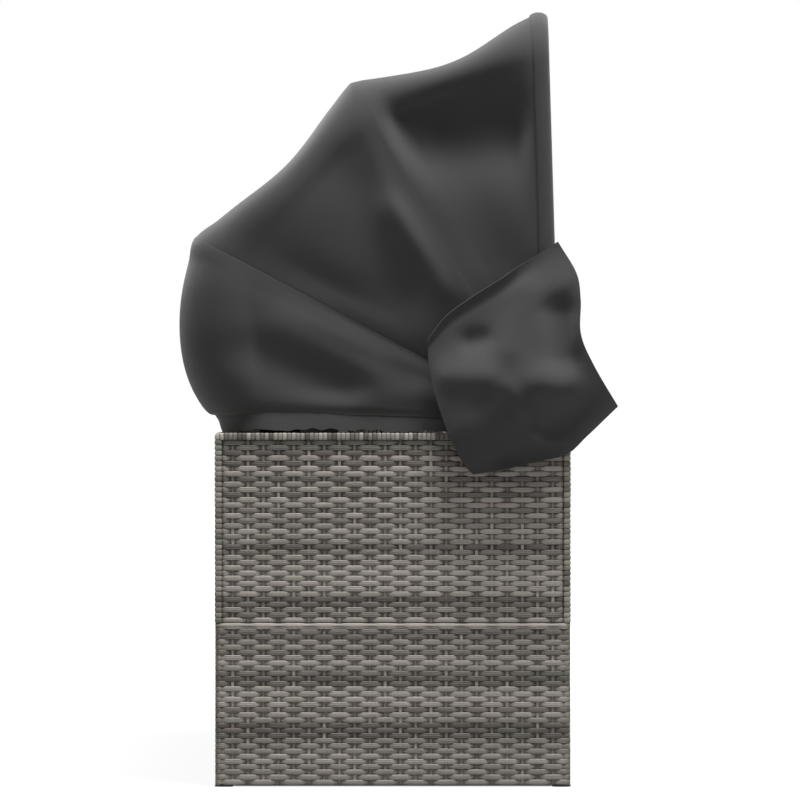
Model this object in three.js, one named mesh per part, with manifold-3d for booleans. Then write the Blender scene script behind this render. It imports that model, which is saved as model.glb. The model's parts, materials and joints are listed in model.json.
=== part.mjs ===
// Canopy sun lounger: a woven bench with arm and back panels, a folding hoop canopy and cushions.
// Millimetres. X runs along the bench, -Y is the open front, +Z is up, and the floor is at zero.
// The origin is the middle of the bench's footprint on the floor.

import * as THREE from 'three';
import { mergeVertices } from 'three/addons/utils/BufferGeometryUtils.js';
import Module from 'manifold-3d';

const wasm = await Module();
wasm.setup();

// Bench
const benchLength = 2000;
const benchDepth = 570;
const baseHeight = 259;
const panelHeight = 304;
const armThickness = 80;
const backThickness = 60;
const clearance = 0.3;
const cutOverrun = 2;

// Weave and its wrapped rims
const weaveThickness = 4.5;
const weaveRecess = 2.5;
const rimWidth = 11;
const deckThickness = 5;

// Square steel tube of the hidden frames
const frameTube = 20;
const frameWall = 1.5;
const deckBearers = 5;
const backUprights = 3;

// Foot glides
const glideHeight = 3;
const glideRadius = 15;
const glideStemRadius = 4;
const glideStemLength = 9;

// Bolts between the panels and the base
const boltRadius = 3;
const boltHeadRadius = 5.5;
const boltHeadHeight = 4;
const boltProjection = 8;
const boltClearance = 0.4;
const armBoltOffset = 150;
const backBoltOffset = 500;

// Canopy hoops: round steel tube bent to a U, with flat eyes on the pivot bolt
const hoopRadius = 8;
const hoopWall = 1.5;
const hoopBend = 70;
const pivotSetback = 35;
const pivotRise = 16;
const frontLegInset = 15;
const hoopPitch = 17.5;
const baseLegPitch = 20;
const rearReach = 629;
const middleReach = 624;
const frontReach = 648;
const baseReach = 515;
const rearAngle = 27.8;
const middleAngle = 59.8;
const frontAngle = 88.3;
const eyeThickness = 5;
const eyeRadius = 11;
const eyeLength = 30;
const eyeOverlap = 6;

// Pivot bracket, bolt, nut and spacers
const pivotBoltRadius = 4;
const pivotClearance = 0.35;
const pivotHeadRadius = 7;
const pivotHeadHeight = 5;
const pivotNutAcross = 13;
const bracketPlate = 3;
const bracketDepth = 36;
const earRadius = 13;
const spacerRadius = 7.5;

// Saddles that carry the fixed hoop
const saddleLength = 26;
const saddleSide = 2.3;
const saddleDrop = 2;
const armSaddleReach = 350;
const backSaddleOffset = 450;

// Canopy cloth
const clothThickness = 3;
const clothGap = 0.5;
const clothSeam = 0.5;
const gussetStart = 95;
const lowerBulge = 44;
const rearSag = 22;
const frontSag = 27;
const lowerFold = 22;
const rearFold = 9;
const frontFold = 10;
const hemStart = 58;
const frontHemWall = 1;
const frontHemHalfWidth = 11.5;
const baseHemWall = 2.6;

// Loose cloth flap that hangs over each pivot
const flapWidth = 305;
const flapHeight = 374;
const flapThickness = 2.5;
const flapStandoff = 0.5;
const flapBillow = 34;

// Cushions
const seatThickness = 78;
const seatCrown = 14;
const seatEdgeGap = 8;
const pillowSize = 430;
const pillowHeight = 400;
const pillowWall = 8;
const pillowCrown = 52;
const pillowInset = 450;
const pillowTilt = 14;
const padDrawIn = 12;
const padCorner = 10;

// Facets
const tubeSides = 10;
const roundSides = 12;
const nutSides = 6;
const bendSteps = 4;
const flapCells = 7;
const weldTolerance = 1e-4;
const joinTolerance = 5e-3;

// Places worked out from the sizes
const frameBottom = glideHeight;
const frameTop = frameBottom + baseHeight;
const panelBottom = frameTop + clearance;
const armTop = panelBottom + panelHeight;
const armInner = benchLength / 2 - armThickness;
const backFront = benchDepth / 2 - backThickness;
const frameHalfLength = benchLength / 2 - weaveThickness - clearance;
const frameHalfDepth = benchDepth / 2 - weaveThickness - clearance;
const deckTop = panelBottom + deckThickness;
const pivotY = -benchDepth / 2 + pivotSetback;
const pivotZ = armTop + clearance + pivotRise;
const frontLeg = benchLength / 2 - frontLegInset;
const middleLeg = frontLeg - hoopPitch;
const rearLeg = middleLeg - hoopPitch;
const baseLeg = rearLeg - baseLegPitch;

const finishes = {
  wicker: new THREE.MeshStandardMaterial({ color: 0x67625d, roughness: 0.6, metalness: 0 }),
  frame_steel: new THREE.MeshStandardMaterial({ color: 0x3a3a3b, roughness: 0.5, metalness: 0.4 }),
  hoop_steel: new THREE.MeshStandardMaterial({ color: 0x46474a, roughness: 0.4, metalness: 0.5 }),
  fastener: new THREE.MeshStandardMaterial({ color: 0xa9abad, roughness: 0.35, metalness: 0.9 }),
  black_plastic: new THREE.MeshStandardMaterial({ color: 0x1d1d1e, roughness: 0.55, metalness: 0 }),
  canopy_cloth: new THREE.MeshStandardMaterial({ color: 0x393939, roughness: 0.9, metalness: 0 }),
  cushion_cloth: new THREE.MeshStandardMaterial({ color: 0x4a4a4b, roughness: 0.92, metalness: 0 }),
};

const lounger = new THREE.Group();

function place(name, geometry, finish, parent = lounger) {
  const mesh = new THREE.Mesh(geometry, finishes[finish]);
  mesh.name = name;
  parent.add(mesh);
  return mesh;
}

// Solid helpers

function toSolid(geometry) {
  const bare = new THREE.BufferGeometry();
  bare.setAttribute('position', geometry.getAttribute('position').clone());
  if (geometry.index) bare.setIndex(geometry.index.clone());
  const welded = mergeVertices(bare, weldTolerance);
  const vertProperties = new Float32Array(welded.getAttribute('position').array);
  const triVerts = new Uint32Array(welded.index.array);
  return new wasm.Manifold(new wasm.Mesh({ numProp: 3, vertProperties, triVerts }));
}

function toGeometry(solid) {
  const { vertProperties, triVerts } = solid.asOriginal().simplify(joinTolerance).getMesh();
  const geometry = new THREE.BufferGeometry();
  geometry.setAttribute('position', new THREE.BufferAttribute(vertProperties, 3));
  geometry.setIndex(new THREE.BufferAttribute(triVerts, 1));
  return geometry;
}

const joined = (geometries) => geometries.map(toSolid).reduce((whole, next) => whole.add(next));

// Turns every face outwards, whichever way round the points were laid.
function facingOut(geometry) {
  const index = geometry.index.array;
  const points = geometry.getAttribute('position');
  const [a, b, c] = [new THREE.Vector3(), new THREE.Vector3(), new THREE.Vector3()];
  let volume = 0;
  for (let i = 0; i < index.length; i += 3) {
    a.fromBufferAttribute(points, index[i]);
    b.fromBufferAttribute(points, index[i + 1]);
    c.fromBufferAttribute(points, index[i + 2]);
    volume += a.dot(b.cross(c));
  }
  if (volume < 0) {
    for (let i = 0; i < index.length; i += 3) [index[i], index[i + 1]] = [index[i + 1], index[i]];
  }
  return geometry;
}

const block = (x0, x1, y0, y1, z0, z1) => new THREE.Box3(
  new THREE.Vector3(x0, y0, z0), new THREE.Vector3(x1, y1, z1));

function blockGeometry(box) {
  const size = box.getSize(new THREE.Vector3());
  const middle = box.getCenter(new THREE.Vector3());
  return new THREE.BoxGeometry(size.x, size.y, size.z).translate(middle.x, middle.y, middle.z);
}

// A welded frame of square tubes: the outer bars joined, less their joined bores and the holes.
function tubeFrame(bars, holes) {
  const bores = bars.map((bar) => bar.clone().expandByScalar(-frameWall));
  const outside = joined(bars.map(blockGeometry));
  const inside = joined([...bores.map(blockGeometry), ...holes]);
  return toGeometry(outside.subtract(inside));
}

// A turned solid with its axis along Z, from a profile of radius and height.
function turned(profile, sides = roundSides) {
  const points = profile.map(([radius, height]) => new THREE.Vector2(radius, height));
  const geometry = new THREE.LatheGeometry(points, sides).rotateX(Math.PI / 2);
  return facingOut(geometry);
}

const pinAt = (radius, x, y, z0, z1) => new THREE.CylinderGeometry(radius, radius, z1 - z0, roundSides)
  .rotateX(Math.PI / 2).translate(x, y, (z0 + z1) / 2);

// A shape drawn in Y and Z, extruded along X about the middle.
function alongX(shape, length) {
  const turn = new THREE.Matrix4().makeBasis(
    new THREE.Vector3(0, 1, 0), new THREE.Vector3(0, 0, 1), new THREE.Vector3(1, 0, 0));
  return new THREE.ExtrudeGeometry(shape, { depth: length, bevelEnabled: false, curveSegments: roundSides })
    .applyMatrix4(turn).translate(-length / 2, 0, 0);
}

const ringPath = (radius, sides) => new THREE.Path(Array.from({ length: sides }, (_, i) => {
  const angle = (i / sides) * Math.PI * 2;
  return new THREE.Vector2(radius * Math.cos(angle), radius * Math.sin(angle));
}));

const smooth = (share) => {
  const held = Math.min(Math.max(share, 0), 1);
  return held * held * (3 - 2 * held);
};

const hump = (share, middle, spread) => Math.exp(-(((share - middle) / spread) ** 2));

// Base: frame, glides, skirts and seat deck

// Evenly spaced places from -1 to 1.
const evenShares = (count) => Array.from({ length: count }, (_, i) => (2 * i) / (count - 1) - 1);

const bearerPlaces = evenShares(deckBearers).map((share) => share * armInner);

const glidePlaces = [-1, 0, 1].flatMap((end) => [-1, 1].map((side) => [
  end * (frameHalfLength - frameTube / 2), side * (frameHalfDepth - frameTube / 2)]));

const armBoltX = frameHalfLength - frameTube / 2;
const backBoltY = frameHalfDepth - frameTube / 2;
const boltPlaces = [
  ['left_arm_bolt_front', -armBoltX, -armBoltOffset],
  ['left_arm_bolt_rear', -armBoltX, armBoltOffset],
  ['right_arm_bolt_front', armBoltX, -armBoltOffset],
  ['right_arm_bolt_rear', armBoltX, armBoltOffset],
  ['back_bolt_left', -backBoltOffset, backBoltY],
  ['back_bolt_right', backBoltOffset, backBoltY],
];

function baseFrame() {
  const [halfX, halfY] = [frameHalfLength, frameHalfDepth];
  const levels = [[frameBottom, frameBottom + frameTube], [frameTop - frameTube, frameTop]];
  const bars = [];
  for (const [low, high] of levels) {
    bars.push(block(-halfX, halfX, -halfY, -halfY + frameTube, low, high));
    bars.push(block(-halfX, halfX, halfY - frameTube, halfY, low, high));
    bars.push(block(-halfX, -halfX + frameTube, -halfY, halfY, low, high));
    bars.push(block(halfX - frameTube, halfX, -halfY, halfY, low, high));
  }
  for (const [x, y] of glidePlaces) {
    const half = frameTube / 2;
    bars.push(block(x - half, x + half, y - half, y + half, frameBottom, frameTop));
  }
  for (const x of bearerPlaces) {
    bars.push(block(x - frameTube / 2, x + frameTube / 2, -halfY, halfY, frameTop - frameTube, frameTop));
  }
  const stemHole = glideStemRadius + boltClearance;
  const holes = glidePlaces.map(([x, y]) => pinAt(
    stemHole, x, y, frameBottom - cutOverrun, frameBottom + frameTube / 2));
  for (const [, x, y] of boltPlaces) {
    holes.push(pinAt(boltRadius + boltClearance, x, y,
      frameTop - frameTube - cutOverrun, frameTop + cutOverrun));
  }
  return tubeFrame(bars, holes);
}

place('base_frame', baseFrame(), 'frame_steel');

glidePlaces.forEach(([x, y], i) => {
  const discTop = glideHeight - clearance;
  const glide = turned([[0, 0], [glideRadius, 0], [glideRadius, discTop], [glideStemRadius, discTop],
    [glideStemRadius, discTop + glideStemLength], [0, discTop + glideStemLength]]);
  place(`foot_glide_${i + 1}`, glide, 'black_plastic').position.set(x, y, 0);
});

const skirtTop = frameTop;
const sideSkirtHalf = benchDepth / 2 - weaveThickness - clearance;
for (const [name, side] of [['base_front_weave', -1], ['base_rear_weave', 1]]) {
  const y = side * (benchDepth / 2 - weaveThickness / 2);
  const skirt = block(-benchLength / 2, benchLength / 2, y - weaveThickness / 2, y + weaveThickness / 2,
    frameBottom, skirtTop);
  place(name, blockGeometry(skirt), 'wicker');
}
for (const [name, side] of [['base_left_weave', -1], ['base_right_weave', 1]]) {
  const x = side * (benchLength / 2 - weaveThickness / 2);
  const skirt = block(x - weaveThickness / 2, x + weaveThickness / 2, -sideSkirtHalf, sideSkirtHalf,
    frameBottom, skirtTop);
  place(name, blockGeometry(skirt), 'wicker');
}

const deck = block(-armInner + clearance, armInner - clearance, -benchDepth / 2, backFront - clearance,
  panelBottom, deckTop);
place('seat_deck', blockGeometry(deck), 'wicker');

// Arm and back panels: a wrapped rim, a weave on each face and a tube frame between them.
// Each is drawn along its own X, with its thickness in Y and its foot at zero.
function wovenPanel(name, length, thickness, uprights, boltHoles) {
  const group = new THREE.Group();
  const half = length / 2;
  const opening = half - rimWidth;
  const rimShape = new THREE.Shape([
    new THREE.Vector2(-half, 0), new THREE.Vector2(-opening, 0),
    new THREE.Vector2(-opening, panelHeight - rimWidth), new THREE.Vector2(opening, panelHeight - rimWidth),
    new THREE.Vector2(opening, 0), new THREE.Vector2(half, 0),
    new THREE.Vector2(half, panelHeight), new THREE.Vector2(-half, panelHeight),
  ]);
  const rim = new THREE.ExtrudeGeometry(rimShape, { depth: thickness, bevelEnabled: false })
    .rotateX(Math.PI / 2).translate(0, thickness / 2, 0);
  place(`${name}_rim`, rim, 'wicker', group);

  const fill = opening - clearance;
  const fillTop = panelHeight - rimWidth - clearance;
  const face = thickness / 2 - weaveRecess;
  const inner = face - weaveThickness;
  place(`${name}_outer_weave`, blockGeometry(block(-fill, fill, -face, -inner, 0, fillTop)), 'wicker', group);
  place(`${name}_inner_weave`, blockGeometry(block(-fill, fill, inner, face, 0, fillTop)), 'wicker', group);

  const wide = inner - clearance;
  const bars = [
    block(-fill, fill, -wide, wide, 0, frameTube),
    block(-fill, fill, -wide, wide, fillTop - frameTube, fillTop),
  ];
  for (const share of evenShares(uprights)) {
    const x = (fill - frameTube / 2) * share;
    bars.push(block(x - frameTube / 2, x + frameTube / 2, -wide, wide, 0, fillTop));
  }
  const holes = boltHoles.map(([x, y]) => pinAt(boltRadius + boltClearance, x, y,
    -cutOverrun, frameTube / 2));
  place(`${name}_frame`, tubeFrame(bars, holes), 'frame_steel', group);
  lounger.add(group);
  return group;
}

const armMiddle = benchLength / 2 - armThickness / 2;
for (const [name, side] of [['left_arm', -1], ['right_arm', 1]]) {
  const offset = armBoltX - armMiddle;
  const holes = [[-armBoltOffset, -offset], [armBoltOffset, -offset]];
  const arm = wovenPanel(name, benchDepth, armThickness, 2, holes);
  arm.position.set(side * armMiddle, 0, panelBottom);
  arm.rotation.z = side * (Math.PI / 2);
}
const backMiddle = benchDepth / 2 - backThickness / 2;
const backHoles = [-1, 1].map((side) => [side * backBoltOffset, -(backBoltY - backMiddle)]);
const back = wovenPanel('back', 2 * (armInner - clearance), backThickness, backUprights, backHoles);
back.position.set(0, backMiddle, panelBottom);
back.rotation.z = Math.PI;

for (const [name, x, y] of boltPlaces) {
  const shank = frameTube + 2 * clearance + frameWall + boltProjection;
  const bolt = turned([[0, -boltHeadHeight], [boltHeadRadius, -boltHeadHeight], [boltHeadRadius, 0],
    [boltRadius, 0], [boltRadius, shank], [0, shank]], tubeSides);
  place(name, bolt, 'fastener').position.set(x, y, frameTop - frameTube - clearance);
}

// Canopy hoops. Each is drawn with its pivot at the origin and its crossbar up, then turned back.

const hoops = {
  base: { leg: baseLeg, reach: baseReach, angle: 0 },
  rear: { leg: rearLeg, reach: rearReach, angle: rearAngle },
  middle: { leg: middleLeg, reach: middleReach, angle: middleAngle },
  front: { leg: frontLeg, reach: frontReach, angle: frontAngle },
};

// A path whose points are used just as they are given.
class StationPath extends THREE.Curve {
  constructor(points, tangents) {
    super();
    this.points = points;
    this.tangents = tangents;
  }

  getPointAt(share, target = new THREE.Vector3()) {
    return target.copy(this.points[Math.round(share * (this.points.length - 1))]);
  }

  getTangentAt(share, target = new THREE.Vector3()) {
    return target.copy(this.tangents[Math.round(share * (this.points.length - 1))]);
  }
}

// The hoop's centre line from one foot over the crossbar to the other.
function hoopPath(hoop, foot, bendSteps) {
  const points = [];
  const tangents = [];
  const add = (x, z, tx, tz) => {
    points.push(new THREE.Vector3(x, 0, z));
    tangents.push(new THREE.Vector3(tx, 0, tz));
  };
  const [edge, crown] = [hoop.leg - hoopBend, hoop.reach - hoopBend];
  add(-hoop.leg, foot, 0, 1);
  for (let i = 0; i <= bendSteps; i += 1) {
    const turn = (i / bendSteps) * (Math.PI / 2);
    add(-edge - hoopBend * Math.cos(turn), crown + hoopBend * Math.sin(turn), Math.sin(turn), Math.cos(turn));
  }
  for (let i = bendSteps; i >= 0; i -= 1) {
    const turn = (i / bendSteps) * (Math.PI / 2);
    add(edge + hoopBend * Math.cos(turn), crown + hoopBend * Math.sin(turn), Math.sin(turn), -Math.cos(turn));
  }
  add(hoop.leg, foot, 0, -1);
  return new StationPath(points, tangents);
}

function swept(section, path) {
  const steps = path.points.length - 1;
  return new THREE.ExtrudeGeometry(section, { steps, bevelEnabled: false, extrudePath: path });
}

const hoopTurn = (hoop) => THREE.MathUtils.degToRad(hoop.angle - 90);

function seatHoop(mesh, hoop) {
  mesh.position.set(0, pivotY, pivotZ);
  mesh.rotation.x = hoopTurn(hoop);
}

const eyeHole = pivotBoltRadius + pivotClearance;

function eyePlate() {
  const shape = new THREE.Shape();
  shape.absarc(0, 0, eyeRadius, Math.PI, Math.PI * 2, false);
  shape.lineTo(eyeRadius, eyeLength);
  shape.lineTo(-eyeRadius, eyeLength);
  shape.closePath();
  shape.holes.push(ringPath(eyeHole, roundSides));
  return alongX(shape, eyeThickness);
}

function hoopTube(hoop) {
  const section = new THREE.Shape(ringPath(hoopRadius, tubeSides).getPoints());
  section.holes.push(ringPath(hoopRadius - hoopWall, tubeSides));
  const tube = swept(section, hoopPath(hoop, eyeLength - eyeOverlap, bendSteps));
  const eyes = [-1, 1].map((side) => eyePlate().translate(side * hoop.leg, 0, 0));
  return toGeometry(joined([tube, ...eyes]));
}

for (const [name, hoop] of Object.entries(hoops)) {
  seatHoop(place(`${name}_hoop`, hoopTube(hoop), 'hoop_steel'), hoop);
}

// Pivot bracket on each arm: a plate with two ears, a bolt through the eyes, a nut and spacers

function earPlate() {
  const shape = new THREE.Shape();
  shape.moveTo(-bracketDepth / 2, 0);
  shape.lineTo(bracketDepth / 2, 0);
  shape.lineTo(bracketDepth / 2, bracketPlate);
  shape.lineTo(earRadius, pivotRise);
  shape.absarc(0, pivotRise, earRadius, 0, Math.PI, false);
  shape.lineTo(-bracketDepth / 2, bracketPlate);
  shape.closePath();
  const hole = ringPath(eyeHole, roundSides).getPoints().map((p) => p.add(new THREE.Vector2(0, pivotRise)));
  shape.holes.push(new THREE.Path(hole));
  return alongX(shape, bracketPlate);
}

const eyeHalf = eyeThickness / 2 + clearance;
const innerEar = baseLeg - eyeHalf - bracketPlate / 2;
const outerEar = frontLeg + eyeHalf + bracketPlate / 2;
const outerFace = outerEar + bracketPlate / 2;
const innerFace = innerEar - bracketPlate / 2;
const nutCorner = pivotNutAcross / 2 / Math.cos(Math.PI / nutSides);

for (const [hand, side] of [['left', -1], ['right', 1]]) {
  const foot = block(innerFace, outerFace, -bracketDepth / 2, bracketDepth / 2, 0, bracketPlate);
  const ears = [innerEar, outerEar].map((x) => earPlate().translate(x, 0, 0));
  const bracketShape = toGeometry(joined([blockGeometry(foot), ...ears]));
  const bracket = place(`${hand}_pivot_bracket`, bracketShape, 'hoop_steel');
  bracket.rotation.z = side < 0 ? Math.PI : 0;
  bracket.position.set(0, pivotY, armTop + clearance);

  const shankEnd = innerFace - pivotHeadHeight - 2 * clearance;
  const bolt = turned([[0, shankEnd], [pivotBoltRadius, shankEnd],
    [pivotBoltRadius, outerFace + clearance], [pivotHeadRadius, outerFace + clearance],
    [pivotHeadRadius, outerFace + pivotHeadHeight], [0, outerFace + pivotHeadHeight]]);
  bolt.rotateY((side * Math.PI) / 2);
  place(`${hand}_pivot_bolt`, bolt, 'fastener').position.set(0, pivotY, pivotZ);

  const hex = new THREE.Shape(ringPath(nutCorner, nutSides).getPoints());
  hex.holes.push(ringPath(eyeHole, roundSides));
  const nutX = innerFace - clearance - pivotHeadHeight / 2;
  place(`${hand}_pivot_nut`, alongX(hex, pivotHeadHeight), 'fastener')
    .position.set(side * nutX, pivotY, pivotZ);

  const legs = [baseLeg, rearLeg, middleLeg, frontLeg];
  ['inner', 'middle', 'outer'].forEach((row, i) => {
    const [low, high] = [legs[i] + eyeHalf, legs[i + 1] - eyeHalf];
    const spacer = turned([[eyeHole, low], [spacerRadius, low], [spacerRadius, high], [eyeHole, high],
      [eyeHole, low]]);
    spacer.rotateY((side * Math.PI) / 2);
    place(`${hand}_${row}_spacer`, spacer, 'black_plastic').position.set(0, pivotY, pivotZ);
  });
}

// Saddles under the fixed hoop, two on the arms and two on the back

function saddle() {
  const groove = hoopRadius + clearance;
  const half = groove + saddleSide;
  const top = pivotRise - saddleDrop;
  const reach = Math.asin(saddleDrop / groove);
  const shape = new THREE.Shape();
  shape.moveTo(-half, 0);
  shape.lineTo(half, 0);
  shape.lineTo(half, top);
  shape.lineTo(groove * Math.cos(reach), top);
  shape.absarc(0, pivotRise, groove, -reach, Math.PI + reach, true);
  shape.lineTo(-half, top);
  shape.closePath();
  const cut = { depth: saddleLength, bevelEnabled: false, curveSegments: tubeSides };
  return new THREE.ExtrudeGeometry(shape, cut)
    .rotateX(Math.PI / 2).translate(0, saddleLength / 2, clearance);
}

for (const [hand, side] of [['left', -1], ['right', 1]]) {
  place(`${hand}_arm_saddle`, saddle(), 'black_plastic')
    .position.set(side * baseLeg, pivotY + armSaddleReach, armTop);
  const onBack = place(`${hand}_back_saddle`, saddle(), 'black_plastic');
  onBack.rotation.z = Math.PI / 2;
  onBack.position.set(side * backSaddleOffset, pivotY + baseReach, armTop);
}

// Canopy cloth. A station is a place along a hoop: up a leg, round a bend or along the crossbar.

const legShares = [0, 0.22, 0.46, 0.7, 0.88];
const bendShares = Array.from({ length: bendSteps }, (_, i) => i / bendSteps);
const barShares = [0, 0.25, 0.5, 0.75, 1];

function clothStations() {
  const legs = legShares.map((share) => ({ kind: 'leg', share }));
  const bends = bendShares.map((share) => ({ kind: 'bend', share }));
  const left = [...legs, ...bends].map((station) => ({ ...station, side: -1 }));
  const right = [...legs, ...bends].map((station) => ({ ...station, side: 1 })).reverse();
  return [...left, ...barShares.map((share) => ({ kind: 'bar', share, side: 0 })), ...right];
}

// The hoop's centre and its outward direction at a station.
function onHoop(hoop, { kind, share, side }) {
  const angle = THREE.MathUtils.degToRad(hoop.angle);
  const [edge, crown] = [hoop.leg - hoopBend, hoop.reach - hoopBend];
  let [x, rise, outX, outRise] = [side * hoop.leg, gussetStart + share * (crown - gussetStart), side, 0];
  if (kind === 'bend') {
    const turn = (share * Math.PI) / 2;
    [outX, outRise] = [side * Math.cos(turn), Math.sin(turn)];
    [x, rise] = [side * edge + hoopBend * outX, crown + hoopBend * outRise];
  } else if (kind === 'bar') {
    [x, rise, outX, outRise] = [edge * (2 * share - 1), hoop.reach, 0, 1];
  }
  const spread = (value) => [value * Math.cos(angle), value * Math.sin(angle)];
  const [y, z] = spread(rise);
  return {
    centre: new THREE.Vector3(x, pivotY + y, pivotZ + z),
    out: new THREE.Vector3(outX, ...spread(outRise)),
  };
}

// The way a hoop's crossbar moves as it is raised.
function turnDirection(hoop) {
  const angle = THREE.MathUtils.degToRad(hoop.angle);
  return new THREE.Vector3(0, -Math.sin(angle), Math.cos(angle));
}

// How far a station counts as crossbar rather than leg.
function barWeight({ kind, share }) {
  if (kind === 'bar') return 1;
  if (kind === 'bend') return 0.35 + 0.65 * share;
  return 0.35 * smooth(2 * share - 1);
}

// Relief of each panel, out from the line between its hoops, across the panel from 0 to 1.
// bar is the sag or bulge between the crossbars, leg is the fan of folds in the end gusset.
const panels = {
  canopy_lower_panel: {
    from: 'base',
    to: 'rear',
    bar: (v) => lowerBulge * Math.sin(Math.PI * v ** 0.8) ** 0.8,
    leg: (v) => lowerFold * (0.75 * hump(v, 0.2, 0.14) + 0.35 * hump(v, 0.45, 0.2) + hump(v, 0.8, 0.13)),
    reachShares: [0.1, 0.6],
  },
  canopy_rear_panel: {
    from: 'rear',
    to: 'middle',
    bar: (v) => -rearSag * Math.sin(Math.PI * v ** 1.15) ** 1.35,
    leg: (v) => rearFold * (hump(v, 0.25, 0.2) + 0.6 * hump(v, 0.7, 0.2)),
    reachShares: [0.2, 0.8],
  },
  canopy_front_panel: {
    from: 'middle',
    to: 'front',
    bar: (v) => -frontSag * Math.sin(Math.PI * v) ** 1.35,
    leg: (v) => frontFold * (hump(v, 0.2, 0.12) - 0.5 * hump(v, 0.55, 0.2)),
    reachShares: [0.35, 0.9],
  },
};

const acrossShares = [0.08, 0.2, 0.34, 0.5, 0.66, 0.8, 0.92];
const order = ['base', 'rear', 'middle', 'front'];

// The line between two hoops at a station and the direction square to it, pointing out.
function chordAt(fromName, toName, station) {
  const from = onHoop(hoops[fromName], station);
  const to = onHoop(hoops[toName], station);
  const along = to.centre.clone().sub(from.centre);
  const width = along.length();
  along.normalize();
  const normal = from.out.clone().add(to.out).normalize();
  normal.addScaledVector(along, -normal.dot(along)).normalize();
  return { from, to, along, width, normal };
}

// Where two neighbouring panels meet on a hoop that both pass over.
function meetingNormal(hoopName, station) {
  const i = order.indexOf(hoopName);
  const before = chordAt(order[i - 1], hoopName, station).normal;
  const after = chordAt(hoopName, order[i + 1], station).normal;
  return before.add(after).normalize();
}

function clothPanel({ from, to, bar, leg, reachShares }) {
  const stations = clothStations();
  const rings = stations.map((station) => {
    const chord = chordAt(from, to, station);
    const weight = barWeight(station);
    const climb = station.kind === 'leg' ? station.share : 1;
    const fan = smooth((climb - reachShares[0]) / (reachShares[1] - reachShares[0]));
    const low = hoopRadius + clothGap;
    const pair = (shift, direction, lift, hoop = chord.from) => [0, clothThickness].map((depth) => hoop.centre
      .clone().addScaledVector(chord.along, shift).addScaledVector(direction, lift + depth));
    const row = [];
    const hemReach = (frontHemHalfWidth + clothSeam) / chord.along.dot(turnDirection(hoops.front));
    let [start, end] = [hoopRadius + baseHemWall + clothGap, chord.width - hemReach];
    if (from === 'base') {
      row.push(pair(start, chord.normal, -clothThickness / 2));
    } else {
      const meeting = meetingNormal(from, station);
      start = 4 * clothSeam + hoopRadius * chord.along.dot(meeting);
      row.push(pair(clothSeam, meeting, low), pair(start, chord.normal, low));
    }
    if (to !== 'front') {
      end = chord.width - 4 * clothSeam + hoopRadius * chord.along.dot(meetingNormal(to, station));
    }
    for (const v of acrossShares) {
      const relief = weight * bar(v) + (1 - weight) * fan * leg(v);
      row.push(pair(start + v * (end - start), chord.normal, low + relief));
    }
    if (to === 'front') {
      row.push(pair(end, chord.normal, clothThickness / 2));
    } else {
      row.push(pair(end, chord.normal, low), pair(-clothSeam, meetingNormal(to, station), low, chord.to));
    }
    return row;
  });
  return doubleSheet(rings);
}

// A closed sheet from rows of point pairs, the inner face and the outer face.
function doubleSheet(rows) {
  const [tall, wide] = [rows.length, rows[0].length];
  const positions = [];
  for (const face of [0, 1]) {
    for (const row of rows) for (const points of row) positions.push(...points[face].toArray());
  }
  const at = (i, j, face) => face * tall * wide + i * wide + j;
  const faces = [];
  const quad = (a, b, c, d) => faces.push(a, b, c, a, c, d);
  for (let i = 0; i < tall - 1; i += 1) {
    for (let j = 0; j < wide - 1; j += 1) {
      quad(at(i, j, 1), at(i, j + 1, 1), at(i + 1, j + 1, 1), at(i + 1, j, 1));
      quad(at(i, j, 0), at(i + 1, j, 0), at(i + 1, j + 1, 0), at(i, j + 1, 0));
    }
    quad(at(i, 0, 0), at(i, 0, 1), at(i + 1, 0, 1), at(i + 1, 0, 0));
    quad(at(i, wide - 1, 0), at(i + 1, wide - 1, 0), at(i + 1, wide - 1, 1), at(i, wide - 1, 1));
  }
  for (let j = 0; j < wide - 1; j += 1) {
    quad(at(0, j, 0), at(0, j + 1, 0), at(0, j + 1, 1), at(0, j, 1));
    quad(at(tall - 1, j, 0), at(tall - 1, j, 1), at(tall - 1, j + 1, 1), at(tall - 1, j + 1, 0));
  }
  const geometry = new THREE.BufferGeometry();
  geometry.setAttribute('position', new THREE.Float32BufferAttribute(positions, 3));
  geometry.setIndex(faces);
  return facingOut(geometry);
}

for (const [name, panel] of Object.entries(panels)) place(name, clothPanel(panel), 'canopy_cloth');

// Hem round the front hoop, and the band that sits over the fixed hoop

function frontHem() {
  const ellipse = (across, along) => Array.from({ length: tubeSides }, (_, i) => {
    const angle = (i / tubeSides) * Math.PI * 2;
    return new THREE.Vector2(along * Math.cos(angle), across * Math.sin(angle));
  });
  const bore = hoopRadius + clearance;
  const section = new THREE.Shape(ellipse(bore + frontHemWall, frontHemHalfWidth));
  section.holes.push(new THREE.Path(ellipse(bore, frontHemHalfWidth - frontHemWall)));
  return swept(section, hoopPath(hoops.front, hemStart, bendSteps));
}
seatHoop(place('canopy_front_hem', frontHem(), 'canopy_cloth'), hoops.front);

function baseHem() {
  const bore = hoopRadius + clearance;
  const half = Math.PI / 2;
  const arc = (radius) => Array.from({ length: tubeSides - 2 }, (_, i) => {
    const angle = half * ((2 * i) / (tubeSides - 3) - 1);
    return new THREE.Vector2(radius * Math.cos(angle), radius * Math.sin(angle));
  });
  const section = new THREE.Shape([...arc(bore + baseHemWall - clearance), ...arc(bore).reverse()]);
  return swept(section, hoopPath(hoops.base, hemStart, bendSteps));
}
seatHoop(place('canopy_base_hem', baseHem(), 'canopy_cloth'), hoops.base);

// Flap over each pivot: its edges, as shares of the flap's width behind and height above the pivot

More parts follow.
